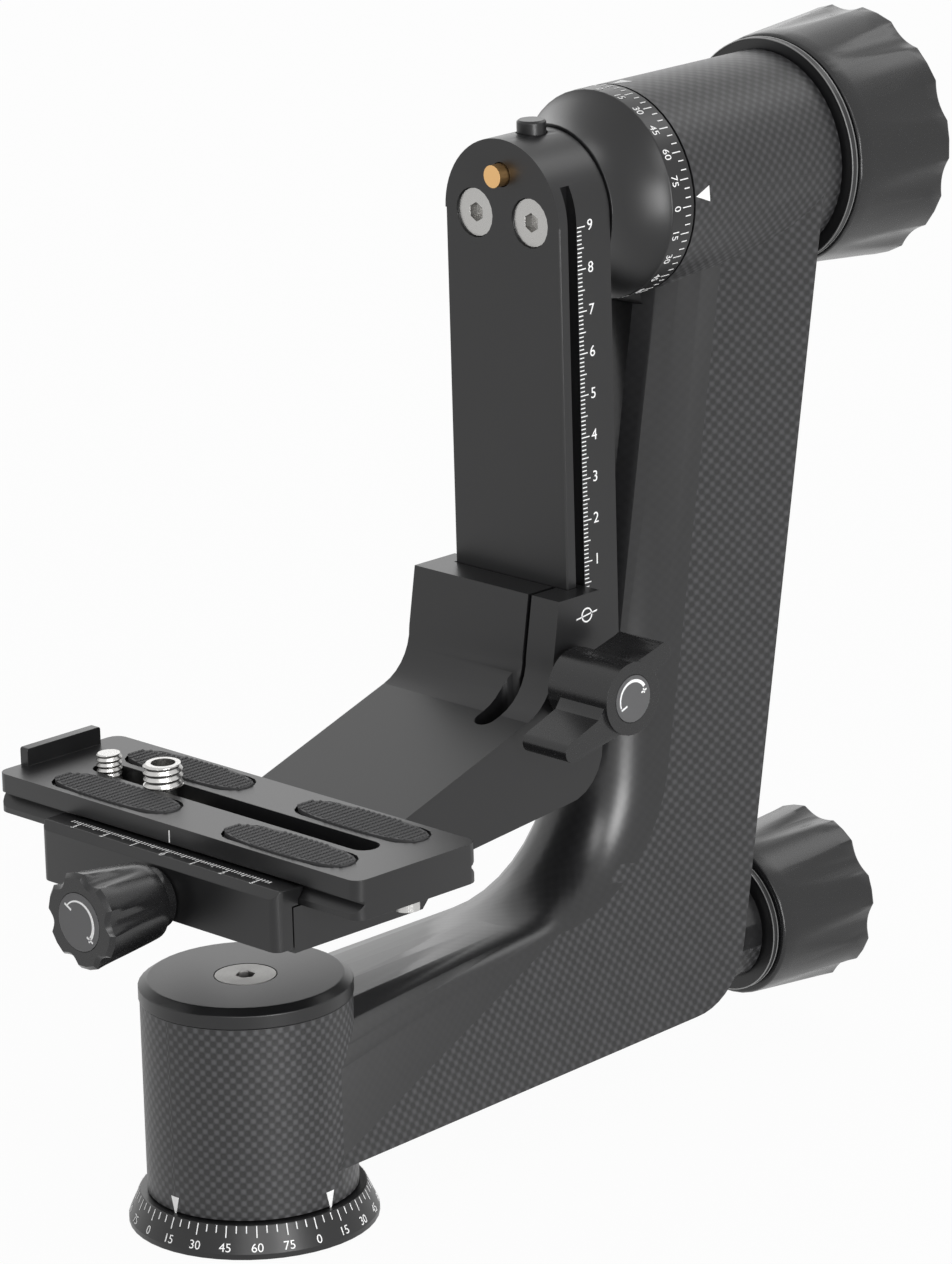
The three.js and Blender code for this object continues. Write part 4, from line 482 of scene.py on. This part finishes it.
# %% Threads
def threaded(name, node, radius, pitch, low, high, hollow=0.0, deep=0.0):
    tip, tip_slope, crest_cut, steps = 0.55, 0.9, 0.06, 40
    root, crest = radius - 0.5 * pitch, radius - crest_cut
    outline = [(0.0, root), (0.38, crest), (0.52, crest), (0.9, root), (1.0, root)]
    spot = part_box(node)
    cx, cy = (spot[0].x + spot[1].x) / 2 / mm, (spot[0].y + spot[1].y) / 2 / mm
    turns = math.ceil((high - low) / pitch) + 2
    bm = bmesh.new()
    verts = [bm.verts.new((r, 0, low - pitch + share * pitch)) for share, r in outline]
    links = [bm.edges.new(pair) for pair in zip(verts, verts[1:])]
    bmesh.ops.spin(bm, geom=verts + links, cent=(0, 0, 0), axis=(0, 0, 1), dvec=(0, 0, pitch / steps),
                   angle=2 * math.pi * turns, steps=steps * turns, use_merge=False)
    bmesh.ops.remove_doubles(bm, verts=bm.verts, dist=0.001)
    for cut_z, side in ((low, -1), (high, 1)):
        bmesh.ops.bisect_plane(bm, geom=bm.verts[:] + bm.edges[:] + bm.faces[:], dist=0.0001,
                               plane_co=(0, 0, cut_z), plane_no=(0, 0, side), clear_outer=True)
    bmesh.ops.holes_fill(bm, edges=[e for e in bm.edges if e.is_boundary], sides=0)
    bmesh.ops.recalc_face_normals(bm, faces=bm.faces[:])
    for vert in bm.verts:
        over = vert.co.z - (high - tip)
        limit = radius - over * tip_slope
        reach = math.hypot(vert.co.x, vert.co.y)
        if over > 0 and reach > limit:
            vert.co.x *= limit / reach
            vert.co.y *= limit / reach
    if hollow:
        top = [f for f in bm.faces if f.normal.z > 0.99 and f.calc_center_median().z > high - 0.01]
        bmesh.ops.inset_region(bm, faces=top, thickness=radius - tip * tip_slope - hollow,
                               use_even_offset=True)
        inner = bmesh.ops.extrude_face_region(bm, geom=top)
        moved = [v for v in inner["geom"] if isinstance(v, bmesh.types.BMVert)]
        bmesh.ops.delete(bm, geom=top, context="FACES")
        bmesh.ops.translate(bm, verts=moved, vec=(0, 0, -deep))
    bmesh.ops.transform(bm, verts=bm.verts,
                        matrix=Matrix.Scale(mm, 4) @ Matrix.Translation((cx, cy, 0)))
    body = merged(node)
    bmesh.ops.bisect_plane(body, geom=body.verts[:] + body.edges[:] + body.faces[:], dist=0.0001 * mm,
                           plane_co=(0, 0, low * mm), plane_no=(0, 0, 1), clear_outer=True)
    bmesh.ops.holes_fill(body, edges=[e for e in body.edges if e.is_boundary], sides=0)
    bm.from_mesh(to_mesh(name + "_body", body))
    piece = keep_piece(name, to_mesh(name, bm), node, 0)
    print(name, "has", turns - 2, "turns of", pitch, "mm")
    return piece


# %% [markdown]
# The pads are soft rubber with rows of small beads across them, which bite into a camera's base. Each
# row is as long as the pad's rounded outline allows. A bead is a little ball with few faces, because
# there are several hundred of them.

# %% Rubber pads
row_pitch, bead_pitch, bead_h = 1.7, 1.0, 0.42
bead_half_l, bead_half_w, pad_squareness = 0.62, 0.6, 2.6
row_margin, end_margin, side_margin = 1.2, 0.2, 0.45


def bead_pad(node):
    low, high = (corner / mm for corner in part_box(node))
    cx, cy = (low.x + high.x) / 2, (low.y + high.y) / 2
    half_w, half_l = (high.x - low.x) / 2, (high.y - low.y) / 2
    bm = bmesh.new()
    bmesh.ops.create_cone(bm, cap_ends=True, segments=64, radius1=1.0, radius2=0.98, depth=1.0)
    for vert in bm.verts:
        power = abs(vert.co.x) ** pad_squareness + abs(vert.co.y) ** pad_squareness
        squarer = 1.0 / power ** (1 / pad_squareness)
        vert.co.x *= squarer * half_w
        vert.co.y *= squarer * half_l
        vert.co.z = low.z if vert.co.z < 0 else high.z - bead_h
    rows = int((2 * half_l - row_margin) / row_pitch)
    count = 0
    for row in range(rows + 1):
        y = (row - rows / 2) * row_pitch
        share = 1 - abs(y / (half_l - end_margin)) ** pad_squareness
        half = (half_w - side_margin) * share ** (1 / pad_squareness)
        beads = int(half / bead_pitch)
        for k in range(-beads, beads + 1):
            size = Matrix.Diagonal((bead_half_l, bead_half_w, bead_h, 1))
            at = Matrix.Translation((k * bead_pitch, y, high.z - bead_h))
            bmesh.ops.create_icosphere(bm, subdivisions=1, radius=1.0, matrix=at @ size)
            count += 1
    bmesh.ops.transform(bm, verts=bm.verts,
                        matrix=Matrix.Scale(mm, 4) @ Matrix.Translation((cx, cy, 0)))
    piece = keep_piece(node + "_beaded", to_mesh(node + "_beaded", bm), node, 0)
    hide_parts(node)
    return count


print("beads:", sum(bead_pad(node) for node in slot_of if node.startswith("rubber_pad")))

# %% [markdown]
# Scales and signs are screen printed: white ink, a few hundredths of a millimetre thick. Each scale is
# laid out flat first, as thin bars and numerals in millimetres, and then one function bends the flat
# layout onto its surface: a cone, a cylinder or a plane. That keeps the layout readable, and the
# numerals follow the curve as real print does.

# %% Printing helpers
ink_mm = 0.05
cap_height_share = 0.7


def bar(bm, x, y, width, height, turn_deg=0.0):
    place = Matrix.Translation((x, y, 0)) @ Matrix.Rotation(math.radians(turn_deg), 4, "Z")
    bmesh.ops.create_cube(bm, size=1.0, matrix=place @ Matrix.Diagonal((width, height, ink_mm, 1)))


def numeral(bm, text, x, y, height):
    curve = bpy.data.curves.new("numeral", "FONT")
    curve.body = text
    curve.size = height / cap_height_share
    curve.align_x, curve.align_y = "CENTER", "CENTER"
    curve.extrude = ink_mm / 2
    letter = bpy.data.objects.new("numeral", curve)
    bpy.context.scene.collection.objects.link(letter)
    bpy.context.view_layer.update()
    mesh = bpy.data.meshes.new_from_object(letter.evaluated_get(bpy.context.evaluated_depsgraph_get()))
    bpy.data.objects.remove(letter)
    mesh.transform(Matrix.Translation((x, y, 0)))
    bm.from_mesh(mesh)
    bpy.data.meshes.remove(mesh)


def triangle(bm, x, y, width, height):
    place = Matrix.Translation((x, y, 0)) @ Matrix.Rotation(math.pi, 4, "Z")
    size = Matrix.Diagonal((width / math.sqrt(3), height / 1.5, ink_mm, 1))
    bmesh.ops.create_cone(bm, cap_ends=True, segments=3, radius1=1.0, radius2=1.0, depth=1.0,
                          matrix=place @ size)


def printed(name, bm, bend, node):
    for vert in bm.verts:
        vert.co = Vector(bend(vert.co.x, vert.co.y, vert.co.z + ink_mm / 2)) * mm
    bmesh.ops.recalc_face_normals(bm, faces=bm.faces[:])
    piece = keep_piece(name, to_mesh(name, bm), node, 0, white_paint)


print("ink is", ink_mm, "mm thick")

# %% [markdown]
# The pan base has a degree scale on its cone, with a tick every 5 degrees and a number every 15. The
# numbers run from 0 to 75 and start again at every right angle. The tilt ring has the same scale, with
# the numbers turned to read downwards. Small triangles on the tubes point at both.

# %% Degree scales
cone_mid_r, cone_top_r, cone_top_z, cone_gap = 27.7, 26.3, 7.5, 0.2
cone_run, cone_drop, cone_zero_deg = 0.417, 0.909, -191.34
ring_edge_x, ring_zero_deg = 126.05, 0.66
pan_mark_z, tilt_mark_x = 9.4, 131.0
pan_mark_lift = 0.4


def degree_scale(radius, label_drop):
    bm = bmesh.new()
    for degree in range(0, 360, 5):
        along = math.radians(degree) * radius
        tick = 2.7 if degree % 15 == 0 else 1.7
        bar(bm, along, -tick / 2, 0.26, tick)
        if degree % 15 == 0:
            numeral(bm, str(degree % 90), along, -label_drop, 2.0)
    return bm


def on_cone(x, y, h):
    angle = x / cone_mid_r + math.radians(cone_zero_deg)
    reach = cone_top_r + cone_run * (cone_gap - y) + cone_drop * h
    rise = cone_top_z - cone_drop * (cone_gap - y) + cone_run * h
    return reach * math.cos(angle), reach * math.sin(angle), rise


def on_tilt_ring(x, y, h):
    angle, reach = x / tilt_tube_r + math.radians(ring_zero_deg), tilt_tube_r + h
    return ring_edge_x + y, -reach * math.cos(angle), tilt_z - reach * math.sin(angle)


def on_pan_tube(x, y, h):
    angle, reach = x / pan_tube_r, pan_tube_r + h
    return reach * math.cos(angle), reach * math.sin(angle), y + pan_mark_lift


def on_tilt_tube(x, y, h):
    angle, reach = x / tilt_tube_r, tilt_tube_r + h
    return y, -reach * math.cos(angle), tilt_z - reach * math.sin(angle)


printed("pan_degree_scale", degree_scale(cone_mid_r, 5.1), on_cone, "pan_base")
printed("tilt_degree_scale", degree_scale(tilt_tube_r, 4.5), on_tilt_ring, "tilt_hub")
bm = bmesh.new()
for degree in (-179.35, -86.78):
    triangle(bm, math.radians(degree) * pan_tube_r, pan_mark_z, 2.5, 4.9)
printed("pan_index_triangles", bm, on_pan_tube, "carbon_arm")
bm = bmesh.new()
for degree in (-3.5, -93.5):
    triangle(bm, math.radians(degree) * tilt_tube_r, tilt_mark_x, 3.8, 4.6)
printed("tilt_index_triangles", bm, on_tilt_tube, "carbon_arm")
print("two degree scales with", 360 // 5, "ticks each")

# %% [markdown]
# The slide rail has a centimetre scale for the carriage height, and the carriage has a ring with a line
# through it as its mark. The clamp jaw has a centimetre scale both ways from its middle, and the plate
# has one line on its side to read against it.

# %% Straight scales
def tick_length(k, ten, five, one):
    return ten if k % 10 == 0 else five if k % 5 == 0 else one


rail_side_y, rail_tick_x, rail_label_x, rail_zero_z = -18.6, 94.59, 98.8, 129.31
bm = bmesh.new()
for k in range(0, 91):
    tick = tick_length(k, 2.59, 2.1, 1.4)
    bar(bm, rail_tick_x + tick / 2, rail_zero_z + k, tick, 0.27)
    if k % 10 == 0 and k:
        numeral(bm, str(k // 10), rail_label_x, rail_zero_z + k, 2.6)
printed("rail_height_scale", bm, lambda x, y, h: (x, rail_side_y - h, y), "slide_rail")

clamp_edge_x, clamp_top_z, clamp_zero, clamp_label_drop = -20.6, 93.76, -0.19, 3.15
bm = bmesh.new()
for k in range(-33, 34):
    tick = tick_length(k, 2.3, 1.7, 1.15)
    bar(bm, k + clamp_zero, -tick / 2, 0.3, tick)
    if k % 10 == 0:
        numeral(bm, str(abs(k) // 10), k + clamp_zero, -clamp_label_drop, 1.6)
printed("clamp_scale", bm, lambda x, y, h: (clamp_edge_x + y, -x, clamp_top_z + h), "clamp_jaw")

plate_side_x, plate_line_y, plate_line_z = -18.8, -2.95, 96.1
bm = bmesh.new()
bar(bm, plate_line_y, plate_line_z, 0.35, 2.9)
printed("plate_index_line", bm, lambda x, y, h: (plate_side_x - h, -x, y), "quick_release_plate")
print("three straight scales and marks")

# %% [markdown]
# The discs on the two small knobs carry an arc that grows thicker the way the clamp tightens, with a
# minus at its thin end and a plus at its thick end. The arc is a flat grid bent into a circle, and the
# grid's width grows along it.

# %% Signs on the discs
def arc(bm, radius, start_deg, end_deg, thin, thick, steps=40):
    made = bmesh.ops.create_grid(bm, x_segments=steps, y_segments=1, size=0.5)["verts"]
    for vert in made:
        along = vert.co.x + 0.5
        angle = math.radians(start_deg + (end_deg - start_deg) * along)
        reach = radius + vert.co.y * (thin + (thick - thin) * along)
        vert.co = Vector((reach * math.cos(angle), reach * math.sin(angle), ink_mm / 2))
    faces = [f for f in bm.faces if all(v in made for v in f.verts)]
    bmesh.ops.solidify(bm, geom=faces, thickness=ink_mm)


bm = bmesh.new()
arc(bm, 4.9, 138, -38, 0.3, 0.85)
bar(bm, -3.4, 3.0, 2.4, 0.5, -28)
bar(bm, 3.6, -3.4, 2.2, 0.45, -28)
bar(bm, 3.6, -3.4, 0.45, 1.4, -28)
low, high = (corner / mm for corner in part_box("clamp_knob_disc"))
mark_x, mark_y, mark_z = low.x, (low.y + high.y) / 2, (low.z + high.z) / 2
printed("clamp_knob_sign", bm, lambda x, y, h: (mark_x - h, mark_y - x, mark_z + y), "clamp_knob_disc")

bm = bmesh.new()
arc(bm, 4.3, 200, 33, 0.3, 0.85)
bar(bm, -3.0, -1.7, 2.0, 0.45, 20)
bar(bm, 3.5, 1.2, 1.8, 0.4, 20)
bar(bm, 3.5, 1.2, 0.4, 1.2, 20)
low, high = (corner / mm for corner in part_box("wing_knob_disc"))
wing_x, wing_y, wing_z = (low.x + high.x) / 2, low.y, (low.z + high.z) / 2
printed("wing_knob_sign", bm, lambda x, y, h: (wing_x + x, wing_y - h, wing_z + y), "wing_knob_disc")

ring_x, carriage_side_y, ring_z = 89.5, -24.0, 128.8
bm = bmesh.new()
arc(bm, 1.6, 0, 360, 0.36, 0.36, 48)
bmesh.ops.remove_doubles(bm, verts=bm.verts, dist=0.001)
bar(bm, 0, 0, 6.9, 0.34, 8)
printed("carriage_index_mark", bm, lambda x, y, h: (ring_x + x, carriage_side_y - h, ring_z + y), "carriage")
print("two disc signs and the carriage mark")

# %% [markdown]
# The button's spring sits in its well. When the button goes down, the spring has to shorten with it.
# The copy gets a mesh of its own; it is not squashed here.

# %% Button spring
low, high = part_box("button_spring")
spring = keep_piece("button_spring_coils", to_mesh("button_spring_coils", merged("button_spring")),
                    "button_spring", 0, plain_steel, 70)
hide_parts("button_spring")
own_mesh(spring)
print("spring is", round((high.z - low.z) / mm, 2), "mm long at rest")

# %% [markdown]
# The small screw has 20 threads to the inch and the large one 16. The large one is hollow, with a
# socket for a key from above, and its thread starts above the slot so that its plain neck can slide.

# %% Camera screws
inch = 25.4
small = threaded("quarter_inch_thread", "quarter_inch_screw", 3.12, inch / 20, 95.0, 102.8)
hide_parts("quarter_inch_screw")
large = threaded("three_eighths_thread", "three_eighths_screw", 4.7, inch / 16, 99.1, 104.3, 3.0, 4.6)
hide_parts("three_eighths_screw")
